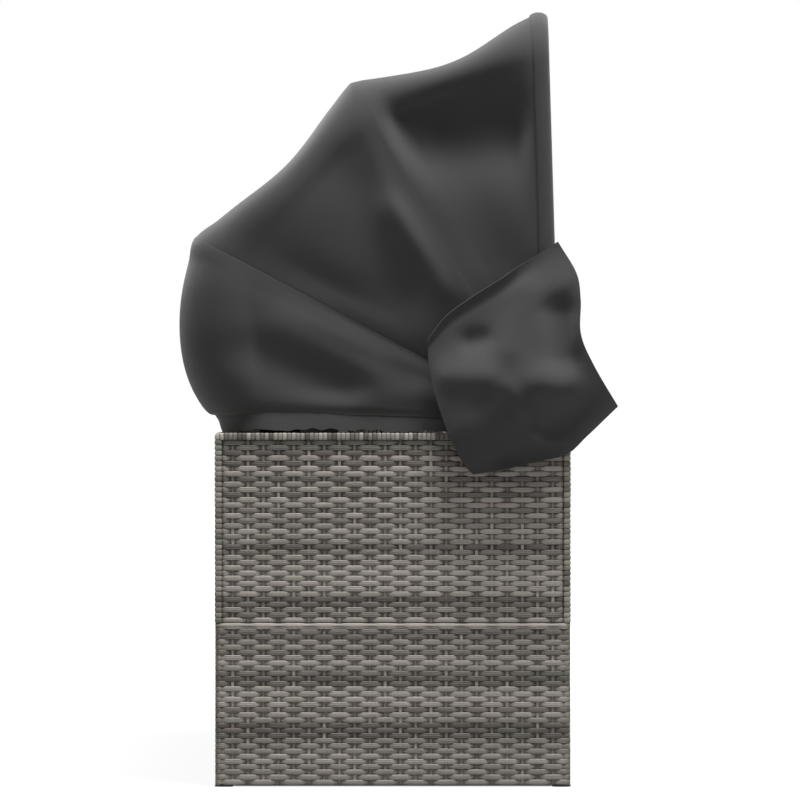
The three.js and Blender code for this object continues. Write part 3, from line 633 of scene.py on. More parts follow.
def wrapped_rim(node, run, out, seed):
    """Turns of strand along a panel's top and down its two posts."""
    weave = settings("weave")
    random = np.random.RandomState(seed)
    low, high = corners(node)
    middle, size = (low + high) / 2, high - low
    run, out, up = np.array(run), np.array(out), np.array(UP)
    length, height, thickness = size @ np.abs(run), size[2], size @ np.abs(out)
    rim = high[2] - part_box(node.replace("_rim", "_outer_weave"))[1].z
    turns = round(length / weave.wrap_pitch)
    post_turns = round((height - rim) / weave.post_pitch)
    pitch, post_pitch = length / turns, (height - rim) / post_turns
    block = wrap_block(pitch, thickness, rim)
    top, turn, local = copies_of(block, node + "_top", turns)
    block = wrap_block(post_pitch, thickness, rim)
    post, post_turn, post_local = copies_of(block, node + "_post", post_turns)

    seeds = random.random_sample(turns)
    runs = np.sin(np.arange(turns) * 0.31 + 5 * random.random_sample()) + np.sin(np.arange(turns) * 0.83)
    tones = np.clip(0.55 + 0.24 * runs + 1.2 * (seeds - 0.5), 0, 1.4)
    post_tones = np.clip(random.normal(0.55, 0.38, 2 * post_turns), 0, 1.1)
    swell = random.uniform(-0.35, 0.1, turns)[turn] * MM
    lean = random.uniform(-0.03, 0.03, turns)[turn]

    # For each run of turns: the places along, across and up, then what the strand attribute and the attribute
    # of painted shade and wear hold. The rims get no painted shade.
    x, y, z = local.T
    groups = [((turn + 0.5) * pitch - length / 2 + x + lean * z, y * (1 + swell / thickness),
               z + np.where(z > 0, swell, 0) + (height - rim) / 2,
               y + z + turn * 0.29, 2 * x / pitch, tones[turn],
               0.0, 0.25, seeds[turn] * 0.3)]
    joined = bmesh.new()
    joined.from_mesh(top)
    x, y, z = post_local.T
    for end, first_turn in ((-1, 0), (1, post_turns)):
        joined.from_mesh(post)
        wrap = post_turn + first_turn
        jut = np.where(z > 0, random.uniform(-0.3, 0.05, 2 * post_turns)[wrap] * MM, 0)
        shade_and_wear = seeds[wrap % turns]
        groups.append((end * (length / 2 - rim / 2 + z + jut), y,
                       (post_turn + 0.5) * post_pitch + x - height / 2,
                       y + wrap * 0.23, 2 * x / post_pitch, post_tones[wrap],
                       0.0, 0.3 + 0.6 * shade_and_wear, 0.3 * shade_and_wear))
    mesh = bpy.data.meshes.new(node)
    joined.to_mesh(mesh)
    joined.free()
    columns = np.concatenate([np.stack(np.broadcast_arrays(*group)) for group in groups], axis=1)

    along, depth, stack = columns[:3]
    radius = weave.corner_radius
    for end in (-1, 1):
        beyond = np.stack([end * along - (length / 2 - radius), stack - (height / 2 - radius)], axis=1)
        reach = np.linalg.norm(beyond, axis=1)
        corner = (beyond > 0).all(axis=1) & (reach > radius)
        pull = np.where(corner, radius / np.maximum(reach, TINY), 1.0)
        along = np.where(corner, end * (length / 2 - radius + beyond[:, 0] * pull), along)
        stack = np.where(corner, height / 2 - radius + beyond[:, 1] * pull, stack)
    write_points(mesh, middle + along[:, None] * run + depth[:, None] * out + stack[:, None] * up)
    write_attribute(mesh, "strand", columns[3:6])
    write_attribute(mesh, "shade_and_wear", columns[6:])
    face_outward(mesh)
    mesh.shade_smooth()
    bpy.data.meshes.remove(top)
    bpy.data.meshes.remove(post)
    new_piece(node.replace("_rim", "_wrapped_rim"), mesh, "wicker", replaced=[node])


class LOUNGER_OT_rims(bpy.types.Operator):
    """Wraps the rims of the arm and back panels"""

    bl_idname = "lounger.rims"
    bl_label = "Wrapped rims"

    def execute(self, context):
        wrapped_rim("left_arm_rim", (0, 1, 0), (-1, 0, 0), 200)
        wrapped_rim("right_arm_rim", (0, 1, 0), (1, 0, 0), 201)
        wrapped_rim("back_rim", (1, 0, 0), (0, 1, 0), 202)
        return {"FINISHED"}


# Canopy

HOOP_NODES = {"base": "base_hoop", "rear": "rear_hoop", "middle": "middle_hoop", "front": "front_hoop"}
HOOP_BODIES = {**HOOP_NODES, "base": "frame"}
HOOP_ANGLES = {"base": 0.0, "rear": 27.8, "middle": 59.8, "front": 88.3}
HOOP_ORDER = ["base", "rear", "middle", "front"]
HOOP_RADIUS = 8 * MM
HOOP_SIDES = 10
HOOP_BEND = 70 * MM
# How far from the pivot the cloth starts on a hoop's legs.
CLOTH_START = 95 * MM
PIVOT = next(Vector(joint["pos_m"]) for joint in frame["joints"])
X_AXIS = np.array([1, 0, 0])


def hoop_sizes(name):
    """How far to the side a hoop's legs stand, how far its crossbar is from the pivot, and its angle."""
    _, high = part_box(HOOP_NODES[name])
    angle = math.radians(HOOP_ANGLES[name])
    leg = high.x - HOOP_RADIUS * math.cos(math.pi / HOOP_SIDES)
    if name == "base":
        return leg, high.y - PIVOT.y - HOOP_RADIUS, angle
    return leg, (high.z - PIVOT.z - HOOP_RADIUS) / math.sin(angle), angle


# How far the start of a hoop's bend counts as crossbar.
WEIGHT_AT_BEND = 0.35


class Stations:
    """Places along a hoop, from one leg over the crossbar to the other."""

    def __init__(self, leg_steps, bend_steps, bar_steps, start=CLOTH_START):
        leg = np.linspace(0, 1, leg_steps, endpoint=False)
        bend = np.linspace(0, 1, bend_steps, endpoint=False)
        bar = np.linspace(0, 1, bar_steps + 1)
        ones = np.ones_like
        kind = np.concatenate([0 * leg, ones(bend), 2 * ones(bar), ones(bend), 0 * leg])
        self.on_leg, self.on_bend = kind == 0, kind == 1
        self.share = np.concatenate([leg, bend, bar, bend[::-1], leg[::-1]])
        self.side = np.concatenate([-ones(leg), -ones(bend), 0 * bar, ones(bend), ones(leg)])
        self.start = start

    def pick(self, leg, bend, bar):
        """Of three values for each station, the one for the part of the hoop that it is on."""
        return np.where(self.on_leg, leg, np.where(self.on_bend, bend, bar))

    def on(self, name):
        """Centres and outward directions of a hoop at every station."""
        leg, reach, angle = hoop_sizes(name)
        edge, crown = leg - HOOP_BEND, reach - HOOP_BEND
        turn = self.share * math.pi / 2
        out_x = self.pick(self.side, self.side * np.cos(turn), 0)
        out_rise = self.pick(0, np.sin(turn), 1)
        x = self.pick(self.side * leg, self.side * edge + HOOP_BEND * out_x, edge * (2 * self.share - 1))
        rise = self.pick(self.start + self.share * (crown - self.start), crown + HOOP_BEND * out_rise, reach)
        spread = np.array([0, math.cos(angle), math.sin(angle)])
        centre = np.array(PIVOT) + x[:, None] * X_AXIS + rise[:, None] * spread
        return centre, out_x[:, None] * X_AXIS + out_rise[:, None] * spread

    def weight(self):
        """How far a station counts as crossbar rather than leg, as a column."""
        leg = WEIGHT_AT_BEND * smooth(2 * self.share - 1)
        bend = WEIGHT_AT_BEND + (1 - WEIGHT_AT_BEND) * self.share
        return self.pick(leg, bend, 1)[:, None]

    def climb(self):
        """How far up its leg a station is, as a column. It is 1 beyond the leg."""
        return np.where(self.on_leg, self.share, 1.0)[:, None]


def unit(vectors):
    return vectors / np.linalg.norm(vectors, axis=-1, keepdims=True)


def chord(stations, first, second):
    """The line between two hoops at each station, and the direction square to it, pointing out."""
    start, start_out = stations.on(first)
    end, end_out = stations.on(second)
    along = end - start
    width = np.linalg.norm(along, axis=1)
    along = along / width[:, None]
    normal = start_out + end_out
    normal = unit(normal - (normal * along).sum(1)[:, None] * along)
    return start, end, along, width, normal


def meeting_normal(stations, name):
    """The direction out of the cloth at a hoop that two panels share."""
    i = HOOP_ORDER.index(name)
    return unit(chord(stations, HOOP_ORDER[i - 1], name)[4] + chord(stations, name, HOOP_ORDER[i + 1])[4])


# How far each panel bulges or sags, in millimetres, at a place v from its first hoop, 0, to its second, 1.
# The first value is for the crossbars and the second for the legs.


def lower_relief(v):
    bar = 48 * np.sin(np.pi * v ** 0.8) ** 0.8
    return bar, 4 * hump(v, 0.04, 0.24) + 5 * hump(v, 0.45, 0.2) + 5 * hump(v, 0.8, 0.13)


def rear_relief(v):
    bar = 3.5 * np.sin(3 * np.pi * v) - 17 * np.sin(np.pi * v)
    return bar, 8 * hump(v, 0.28, 0.2)


def front_relief(v):
    bar = -25.6 * np.sin(np.pi * v) ** 1.5
    return bar, -8 * smooth(v / 0.5) * smooth((1 - v) / 0.3)


class Panel:
    """A panel of canopy cloth between two hoops."""

    def __init__(self, hoops, relief, fan, folds):
        self.hoops = hoops
        self.relief = relief
        self.fan = fan
        self.folds = folds


# The fan of a panel is the part of the leg over which its relief sets in. Each fold on the canopy's two ends
# runs between two points, given in millimetres behind and above the pivot, and has a half width and a height,
# which is negative for a hollow.
PANELS = {
    "canopy_lower_panel": Panel(("base", "rear"), lower_relief, (0.1, 0.6), [
        ((430, 160), (285, 92), 30, 8),
        ((484, 120), (325, 58), 34, -13),
        ((290, 22), (170, 12), 42, 12),
    ]),
    "canopy_rear_panel": Panel(("rear", "middle"), rear_relief, (0.2, 0.8), [
        ((398, 357), (240, 309), 60, 9),
        ((382, 213), (254, 197), 45, -9),
        ((334, 420), (238, 215), 36, -3.5),
        ((276, 470), (244, 342), 26, 4),
        ((244, 342), (166, 232), 30, 8),
    ]),
    "canopy_front_panel": Panel(("middle", "front"), front_relief, (0.35, 0.9), [
        ((236, 462), (20, 470), 62, -36),
        ((206, 522), (80, 270), 46, -8),
        ((40, 330), (20, 320), 70, 3),
    ]),
}


def folds(behind, above, table):
    """The sum of a table's folds at places given in metres behind and above the pivot."""
    total = np.zeros(np.broadcast(behind, above).shape)
    for (y0, z0), (y1, z1), width, height in table:
        start = np.array((y0, z0)) * MM
        line = np.array((y1, z1)) * MM - start
        share = (behind - start[0]) * line[0] + (above - start[1]) * line[1]
        share = np.clip(share / (line @ line), 0, 1)
        gap = np.hypot(behind - start[0] - share * line[0], above - start[1] - share * line[1])
        total = total + height * MM * np.exp(-((gap / (width * MM)) ** 2))
    return total


PANEL_STEPS = (40, 12, 48)
ACROSS_STEPS = 52
CLOTH_GAP = 0.5 * MM
# Where the lower panel starts, measured from the fixed hoop, and how far it stands out there.
LOWER_START = 17 * MM
EDGE_FLARE = 16 * MM
FLARE_REACH = 50 * MM
# The cloth stands off the rear hoop's crossbar.
REAR_RISE, REAR_RISE_REACH = 5 * MM, 24 * MM
# On its legs the cloth leans towards the front where it crosses the middle hoop.
MIDDLE_LEAN, MIDDLE_LEAN_REACH = 0.28, 28 * MM
# Folds fade out this near to a hoop, and the directions of two panels merge this near to the hoop they share.
FOLD_MARGIN = 45 * MM
MERGE_REACH = 26 * MM
STITCH_WIDTH = 1 * MM


def grid_mesh(name, columns, rows):
    """A flat grid, and for each vertex its column and row."""
    bm = bmesh.new()
    bmesh.ops.create_grid(bm, x_segments=columns, y_segments=rows, size=0.5)
    for edge in bm.edges:
        edge.smooth = not edge.is_boundary
    mesh = bpy.data.meshes.new(name)
    bm.to_mesh(mesh)
    bm.free()
    points = read_points(mesh)
    column = np.rint((points[:, 0] + 0.5) * columns).astype(int)
    row = np.rint((points[:, 1] + 0.5) * rows).astype(int)
    return mesh, column, row


def path_lengths(points, axis):
    """How far each point lies along its line of the grid."""
    steps = np.linalg.norm(np.diff(points, axis=axis), axis=-1)
    return np.insert(np.cumsum(steps, axis=axis), 0, 0, axis=axis)


def cloth_piece(name, grid, seam, body, node, encloses=True):
    """A sheet from a grid of points, given a thickness.
    One that encloses the pivot gets its thickness on the inside."""
    columns, rows = grid.shape[0] - 1, grid.shape[1] - 1
    mesh, column, row = grid_mesh(name, columns, rows)
    write_points(mesh, grid[column, row])
    along, across = path_lengths(grid, 0), path_lengths(grid, 1)
    write_attribute(mesh, "cloth", (along[column, row], across[column, row], seam[column, row]))
    if encloses and sum(face.area * face.normal.dot(face.center - PIVOT) for face in mesh.polygons) < 0:
        mesh.flip_normals()
    mesh.shade_smooth()
    piece = new_piece(name, mesh, "canopy_cloth", None, [node])
    wall = piece.modifiers.new("Wall", "SOLIDIFY")
    wall.thickness = settings("canopy").cloth_thickness
    wall.offset = -1.0
    if body:
        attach(piece, body)
    return piece


def panel_grid(panel):
    """Points of one canopy panel, stations by places across, and how near each is to a row of stitches."""
    first, second = panel.hoops
    stations = Stations(*PANEL_STEPS)
    start, _, along, width, normal = chord(stations, first, second)
    width, weight, climb = width[:, None], stations.weight(), stations.climb()
    near = LOWER_START if first == "base" else 0.0
    v = (1 - np.cos(np.linspace(0, np.pi, ACROSS_STEPS + 1))) / 2
    place = near + v[None, :] * (width - near)
    grid = start[:, None, :] + place[..., None] * along[:, None, :]

    bar, leg = panel.relief(np.clip(v, 0.001, 0.999)[None, :])
    leg = leg * smooth(np.minimum(v, 1 - v) / 0.1)
    fan = smooth((climb - panel.fan[0]) / (panel.fan[1] - panel.fan[0]))
    lift = HOOP_RADIUS + CLOTH_GAP + settings("canopy").cloth_thickness
    lift = lift + (weight * bar + (1 - weight) * fan * leg) * MM
    inside = smooth(np.minimum(place - near, width - place) / FOLD_MARGIN)
    creases = folds(grid[..., 1] - PIVOT.y, grid[..., 2] - PIVOT.z, panel.folds)
    lift = lift + creases * inside * smooth(1.25 * (1 - weight)) * smooth(climb / 0.12)
    corner = np.where(stations.on_bend, np.sin(np.pi * stations.share), 0)[:, None]
    corner_push = (8 if first == "base" else 20) * MM
    grid[..., 0] += corner_push * corner * np.sin(np.pi * v)[None, :] * np.sign(start[:, :1])
    if first == "base":
        loose = 1 + 0.7 * (1 - weight)
        lift = lift + EDGE_FLARE * loose * np.exp(-(place - near) / (FLARE_REACH * loose))
    if "rear" in panel.hoops:
        from_rear = place if first == "rear" else width - place
        lift = lift + REAR_RISE * weight * hump(from_rear, 0, REAR_RISE_REACH)
    if "middle" in panel.hoops:
        from_middle = place - (width if second == "middle" else 0)
        lean = MIDDLE_LEAN * (1 - weight) * smooth(climb / 0.3)
        lift = lift - lean * from_middle * np.exp(-np.abs(from_middle) / MIDDLE_LEAN_REACH)
    lift = lift + wrinkles(grid) * inside

    out = np.broadcast_to(normal[:, None, :], grid.shape)
    if first != "base":
        share = smooth(1 - place / MERGE_REACH)[..., None]
        out = out * (1 - share) + meeting_normal(stations, first)[:, None, :] * share
    if second != "front":
        share = smooth(1 - (width - place) / MERGE_REACH)[..., None]
        out = out * (1 - share) + meeting_normal(stations, second)[:, None, :] * share
    if first == "base":
        seam = hump(place, near + 9 * MM, STITCH_WIDTH) + hump(place, width - 4 * MM, STITCH_WIDTH)
    else:
        seam = hump(place, 4 * MM, STITCH_WIDTH)
    return grid + lift[..., None] * unit(out), 0.3 * seam


def wrinkles(grid):
    """Slight unevenness of slack cloth: a few long waves at odd angles, not the same at both ends."""
    x, y, z = np.moveaxis(grid, -1, 0)
    waves = (1.1 * np.sin(9 * x + 17 * y + 5 * z) + 0.9 * np.sin(21 * y - 16 * z + 6 * x)
             + 0.5 * np.sin(34 * z + 27 * y - 4 * x) + 0.35 * np.sin(55 * y + 12 * z + 11 * x))
    return waves * MM


# From the pivot to where the width between two hoops is measured.
BLEND_RADIUS = 460 * MM


def blend_ends(first, second):
    """Two points either side of the plane midway between two hoops, as far apart as the hoops."""
    middle = math.radians((HOOP_ANGLES[first] + HOOP_ANGLES[second]) / 2)
    half = math.radians((HOOP_ANGLES[second] - HOOP_ANGLES[first]) / 2)
    across = Vector((0, -math.sin(middle), math.cos(middle))) * BLEND_RADIUS * math.sin(half)
    centre = PIVOT + Vector((0, math.cos(middle), math.sin(middle))) * BLEND_RADIUS
    return tuple(centre - across), tuple(centre + across)


class LOUNGER_OT_canopy_panels(bpy.types.Operator):
    """Sews the three panels of canopy cloth between the hoops"""

    bl_idname = "lounger.canopy_panels"
    bl_label = "Canopy panels"

    def execute(self, context):
        for name, panel in PANELS.items():
            grid, seam = panel_grid(panel)
            piece = cloth_piece(name.replace("_panel", "_cloth"), grid, seam, None, name)
            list(blend_ends(*panel.hoops))
            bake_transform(piece)
        return {"FINISHED"}


# Hems and flaps


def band_along(name, hoop, neighbour, stations, section, node, seam_of):
    """A band of cloth that follows a hoop. Its section gives offsets forward and out of the cloth."""
    order = sorted((hoop, neighbour), key=HOOP_ORDER.index)
    first, second, along, _, normal = chord(stations, *order)
    centre = second if order[1] == hoop else first
    ahead, out = np.broadcast_arrays(*section(stations))
    grid = centre[:, None, :] + ahead[..., None] * along[:, None, :] + out[..., None] * normal[:, None, :]
    return cloth_piece(name, grid, seam_of(ahead), HOOP_BODIES[hoop], node,
                       encloses=False)


def smooth_line(points, count):
    """Evenly shared points on a smooth curve through the given ones."""
    points = np.array(points, float)
    ends = np.vstack([2 * points[0] - points[1], points, 2 * points[-1] - points[-2]])
    scaled = np.linspace(0, len(points) - 1, count)
    i = np.minimum(scaled.astype(int), len(points) - 2)
    t = (scaled - i)[:, None]
    a, b, c, d = (ends[i + k] for k in range(4))
    return 0.5 * (2 * b + (c - a) * t + (2 * a - 5 * b + 4 * c - d) * t ** 2
                  + (3 * b - a - 3 * c + d) * t ** 3)


# The hoops' radius in the millimetres of the sections, and the top of the sleeve over it.
HOOP = HOOP_RADIUS / MM
SLEEVE_TOP = HOOP + 3.4
# The sleeve's section, in millimetres ahead of the front hoop and out of the cloth.
SLEEVE_LINE = [(-6, SLEEVE_TOP - 0.6), (-2, SLEEVE_TOP + 0.3), (5, SLEEVE_TOP), (13, 7.4), (17.8, 1.5),
               (17, -4), (11, -8.6), (2, -10.6), (-4, -9), (-7, -3), (-7, 4)]
SLEEVE_START = 58 * MM
SLEEVE_STEPS = 40
BAND_STEPS = 20
# Waves of the slack band: how fast each turns along it, and how far its crests slant across it.
BAND_WAVES = ((0.21, 1.1), (0.37, -1.6), (0.62, 2.0), (0.95, -2.6), (1.3, 1.4))


def sleeve_section(stations):
    ahead, out = (smooth_line(SLEEVE_LINE, SLEEVE_STEPS + 1) * MM).T[:, None, :]
    ripple = 0.3 * MM * np.sin(np.arange(len(stations.share)) * 1.9)[:, None]
    return ahead, out + ripple * (ahead > 10 * MM)


def sleeve_seam(ahead):
    return 0.25 * hump(ahead, -3.6 * MM, 0.8 * MM)


def band_section(stations):
    """Along the crossbar the band lies over the hoop. On the legs it is loose, in uneven waves."""
    random = np.random.RandomState(311)
    bar = smooth((stations.weight() - WEIGHT_AT_BEND) / (1 - WEIGHT_AT_BEND))
    rise = np.linspace(-1, 1, BAND_STEPS + 1)[None, :]
    place = np.arange(len(stations.share))[:, None]
    slack = sum(random.uniform(0.4, 1) * np.sin(place * turn + 6 * random.random_sample() + tilt * rise)
                for turn, tilt in BAND_WAVES)
    down = (1 - rise) / 2
    tuck = smooth(rise)
    ahead = 4 + 15 * rise + bar * (5 * tuck - 4.2 * down) + (1 - bar) * down * (3.5 - 1.3 * slack)
    out = bar * (HOOP + 9 + 6.5 * tuck - 5 * down) + (1 - bar) * (HOOP + 25.5 + 9 * down)
    loose = (1 - bar * tuck) * (0.35 + 0.65 * down) * 0.55
    return ahead * MM, (out + slack * loose) * MM


class LOUNGER_OT_hems(bpy.types.Operator):
    """Makes the sleeve round the front hoop and the gathered band over the fixed hoop"""

    bl_idname = "lounger.hems"
    bl_label = "Canopy hems"

    def execute(self, context):
        stations = Stations(36, 8, 48, SLEEVE_START)
        band_along("canopy_front_sleeve", "front", "middle", stations, sleeve_section, "canopy_front_hem",
                   sleeve_seam)
        stations = Stations(64, 12, 170)
        band_along("canopy_base_band", "base", "rear", stations, band_section, "canopy_base_hem",
                   np.zeros_like)
        return {"FINISHED"}


# The flap's four edges are points behind and above the pivot, in shares of its width and height. The top and
# foot run forward, the rear and front run down.
FLAP_SIZE = (305 * MM, 374 * MM)
FLAP_STEPS = 56
FLAP_EDGES = {
    "top": [(0.64, 0.352), (0.538, 0.457), (0.407, 0.536), (0.257, 0.613), (0.136, 0.681),
            (-0.047, 0.775)],
    "foot": [(0.399, -0.221), (0.257, -0.204), (0.089, -0.17), (-0.089, -0.136), (-0.202, -0.055),
             (-0.362, 0.07)],
    "rear": [(0.64, 0.352), (0.627, 0.236), (0.59, 0.099), (0.525, -0.055), (0.454, -0.17),
             (0.399, -0.221)],
    "front": [(-0.047, 0.775), (-0.142, 0.64), (-0.163, 0.527), (-0.163, 0.382), (-0.231, 0.249),
              (-0.362, 0.07)],
}
FLAP_FOLDS = [
    ((-17, 172), (-17, 108), 32, -26),
    ((-30, 58), (30, 66), 30, 10),
    ((126, 130), (110, 133), 19, -12),
    ((155, 76), (105, 74), 26, 13),
    ((40, 210), (62, 120), 28, 8),
    ((22, -16), (-35, -48), 9, 7),
    ((66, 58), (25, 0), 13, 4),
    ((100, 20), (70, -60), 34, -9),
    ((-10, -5), (-60, 5), 30, -6),
]
# Beside the arm the flap keeps this far off its face, and bends over this length to do so.
FLAP_CLEAR, FLAP_BEND = 2 * MM, 3 * MM


def flap_grid(side):
    """The flap's points: its four edges filled smoothly, standing off the arm in folds."""
    top, foot, rear, front = (smooth_line(points, FLAP_STEPS + 1) * FLAP_SIZE
                              for points in FLAP_EDGES.values())
    places = np.linspace(0, 1, FLAP_STEPS + 1)
    s, t = places[:, None, None], places[None, :, None]
    flat = ((1 - t) * top[:, None] + t * foot[:, None] + (1 - s) * rear[None] + s * front[None]
            - (1 - s) * (1 - t) * top[0] - s * (1 - t) * top[-1] - (1 - s) * t * foot[0] - s * t * foot[-1])
    s, t = s[..., 0], t[..., 0]
    behind, above = flat[..., 0], flat[..., 1]
    billow = 56 * smooth(t / 0.68) * (1 - 0.8 * smooth((t - 0.58) / 0.42))
    billow = billow * np.sin(np.pi * (0.12 + 0.76 * s)) ** 0.8
    corner = 20 * smooth(t / 0.25) * smooth((s - 0.4) / 0.5) * (1 - smooth((t - 0.75) / 0.25))
    rolled = 5 * hump(t, 0.0, 0.018) - 2.5 * hump(t, 0.055, 0.022)
    off_rear = 9 * smooth((behind + 60 * MM) / (180 * MM))
    height = 5 * smooth(s) - 3 + billow + corner + rolled * smooth((0.95 - s) / 0.3) + off_rear
    inside = smooth(np.minimum(np.minimum(s, 1 - s) + 0.04, np.minimum(t, 1 - t) + 0.02) / 0.12)
    height = height * MM + folds(behind, above, FLAP_FOLDS) * inside
    # Beside the arm, at rest or folded back, the cloth stays clear of the strands.
    low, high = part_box("left_arm_rim")
    fold = math.radians(sum(joint["range_deg"][1] for joint in frame["joints"]))
    lowest = np.minimum(above, above * math.cos(fold) - behind * math.sin(fold))
    beside = PIVOT.z + lowest < high.z + 8 * MM
    spare = height - FLAP_CLEAR
    height = np.where(beside, FLAP_CLEAR + (spare + np.hypot(spare, FLAP_BEND)) / 2, height)
    return np.stack([side * (height - low.x), PIVOT.y + behind, PIVOT.z + above], axis=-1)


class LOUNGER_OT_flaps(bpy.types.Operator):
    """Hangs the loose flap of cloth over each pivot"""

    bl_idname = "lounger.flaps"
    bl_label = "Pivot flaps"

    def execute(self, context):
        places = np.linspace(0, 1, FLAP_STEPS + 1)
        from_end = np.minimum(places, 1 - places)
        seam = 0.15 * hump(np.minimum(from_end[:, None], from_end[None, :]), 0.03, 0.008)
        for hand, side in (("left", -1), ("right", 1)):
            cloth_piece(f"{hand}_flap_cloth", flap_grid(side), seam, "front_hoop", f"{hand}_pivot_flap")
        return {"FINISHED"}


# Cushions


def evaluated_mesh(piece):
    return bpy.data.meshes.new_from_object(piece.evaluated_get(bpy.context.evaluated_depsgraph_get()))


def joined_up(mesh):
    """Makes one vertex of those that lie on one place."""
    bm = bmesh.new()
    bm.from_mesh(mesh)
    bmesh.ops.remove_doubles(bm, verts=bm.verts, dist=0.01 * MM)
    bmesh.ops.recalc_face_normals(bm, faces=bm.faces)
    for edge in bm.edges:
        edge.smooth = True
    bm.to_mesh(mesh)
    bm.free()


def swollen_cover(node, name, voxel, spare):
    """A cover blown up by its filling: the pad's form, remeshed, pressed out as cloth and held to a cap.
    It also keeps to the pad's box, with some millimetres to spare on each of the six sides."""
    cushions = settings("cushions")
    mesh = frame["nodes"][node].data.copy()
    mesh.name = name
    joined_up(mesh)
    pad = bpy.data.objects.new(name, mesh)
    bpy.context.scene.collection.objects.link(pad)
    remesh = pad.modifiers.new("Even faces", "REMESH")
    remesh.mode = "VOXEL"
    remesh.voxel_size = voxel
    start = evaluated_mesh(pad)
    pad.modifiers.clear()
    points = read_points(start)
    normals = np.zeros(points.size)
    start.vertices.foreach_get("normal", normals)
    points = points - normals.reshape(-1, 3) * cushions.draw_in
    write_points(start, points)
    pad.data = start
    cloth = pad.modifiers.new("Filling", "CLOTH")
    cloth.settings.use_pressure = True
    cloth.settings.uniform_pressure_force = cushions.pressure
    cloth.settings.effector_weights.gravity = 0
    cloth.settings.quality = 4
    cloth.settings.mass = 0.3
    cloth.point_cache.frame_end = cushions.swell_frames
    for step in range(1, cushions.swell_frames + 1):
        bpy.context.scene.frame_set(step)
    moved = read_points(evaluated_mesh(pad)) - points
    bpy.context.scene.frame_set(1)
    pad.modifiers.clear()
    reach = np.linalg.norm(moved, axis=1, keepdims=True)
    points = points + moved * np.minimum(1, cushions.swell_cap / np.maximum(reach, TINY))
    bpy.data.objects.remove(pad)
    low, high = corners(node)
    low_spare, high_spare = np.array(spare) * MM
    return start, np.clip(points, low - low_spare, high + high_spare)


CORD_SIDES = 8
CORD_SEAM_SHADE = 0.3


def seam_cord(name, points, node, axes, height, sewn_in, count):
    """A cord sewn round a cover where it is widest, at a height from the middle of the pad. The axes are the
    pad's two flat ones and the one through its thickness."""
    low, high = corners(node)
    centre = (low + high) / 2
    local = (points - centre) @ np.array(axes).T
    near = local[np.abs(local[:, 2] - height) < 5 * MM]
    size = np.abs(near[:, :2]).max(0)
    turn = np.arctan2(near[:, 1] / size[1], near[:, 0] / size[0])
    reach = np.linalg.norm(near[:, :2] / size, axis=1)
    slots = np.linspace(-math.pi, math.pi, count, endpoint=False)
    apart = np.abs((turn[None, :] - slots[:, None] + math.pi) % (2 * math.pi) - math.pi)
    furthest = np.where(apart < 3 * math.pi / count, reach[None, :], 0).max(1)
    kernel = np.array([1, 3, 4, 3, 1]) / 12
    furthest = sum(np.roll(furthest, i - 2) * kernel[i] for i in range(5))
    ring = np.stack([furthest * np.cos(slots) * size[0], furthest * np.sin(slots) * size[1]], axis=1)
    ring = ring - unit(ring) * sewn_in
    path = centre + np.column_stack([ring, np.full(count, height)]) @ np.array(axes)
    ahead = unit(np.roll(path, -1, axis=0) - np.roll(path, 1, axis=0))
    thick = np.array(axes[2])
    side = unit(np.cross(ahead, thick))
    mesh, column, row = grid_mesh(name, count, CORD_SIDES)
    column = column % count
    angle = 2 * math.pi * row / CORD_SIDES
    offset = np.cos(angle)[:, None] * side[column] + np.sin(angle)[:, None] * thick
    write_points(mesh, path[column] + settings("cushions").piping_radius * offset)
    write_attribute(mesh, "cloth", (column * 6 * MM, row * 2 * MM, CORD_SEAM_SHADE))
    joined_up(mesh)
    mesh.shade_smooth()
    return mesh


PILLOW_LEAN = math.radians(14)


def cover_piece(name, mesh, points, node):
    write_points(mesh, points)
    write_attribute(mesh, "cloth", (points[:, 0], points[:, 1] + points[:, 2], np.zeros(len(points))))
    mesh.shade_smooth()
    piece = new_piece(name, mesh, "cushion_cloth", replaced=[node])
    soften = piece.modifiers.new("Soften", "SUBSURF")
    soften.levels = soften.render_levels = 1


class LOUNGER_OT_cushions(bpy.types.Operator):
    """Fills the seat cushion and the two pillows"""

    bl_idname = "lounger.cushions"
    bl_label = "Cushions"

    def execute(self, context):
        mesh, points = swollen_cover("seat_cushion", "seat_cover", 11 * MM, ((6, 6, 0), (6, 6, 0.5)))
        for place, height in (("top", 24 * MM), ("foot", -24 * MM)):
            cord = seam_cord(f"seat_cord_{place}", points, "seat_cushion", np.eye(3), height, 1 * MM, 360)
            new_piece(f"seat_cord_{place}", cord, "cushion_cloth")
        cover_piece("seat_cover", mesh, points, "seat_cushion")

        mesh, points = swollen_cover("left_pillow", "left_pillow_cover", 7 * MM, ((5, 5, 0), (5, 0, 5)))
        lean, rise = math.sin(PILLOW_LEAN), math.cos(PILLOW_LEAN)
        axes = ((1, 0, 0), (0, lean, rise), (0, -rise, lean))
        cord = seam_cord("left_pillow_cord", points, "left_pillow", axes, 0.0, 2.4 * MM, 220)
        mirror = np.array((-1, 1, 1))
        right_cover, right_cord = mesh.copy(), cord.copy()
        write_points(right_cord, read_points(cord) * mirror)
        right_cover.flip_normals()
        right_cord.flip_normals()
        for hand, cover, place, line in (("left", mesh, points, cord),
                                         ("right", right_cover, points * mirror, right_cord)):
            new_piece(f"{hand}_pillow_cord", line, "cushion_cloth")
            cover_piece(f"{hand}_pillow_cover", cover, place, f"{hand}_pillow")
        return {"FINISHED"}


# Frame, hoops and fittings keep their nodes


def dress(material, *endings):
    """Gives a material to every shown CAD node whose name ends so."""
    for name, node in frame["nodes"].items():
        if name.endswith(endings) and not node.hide_render:
            node.data.materials.clear()
            node.data.materials.append(material)


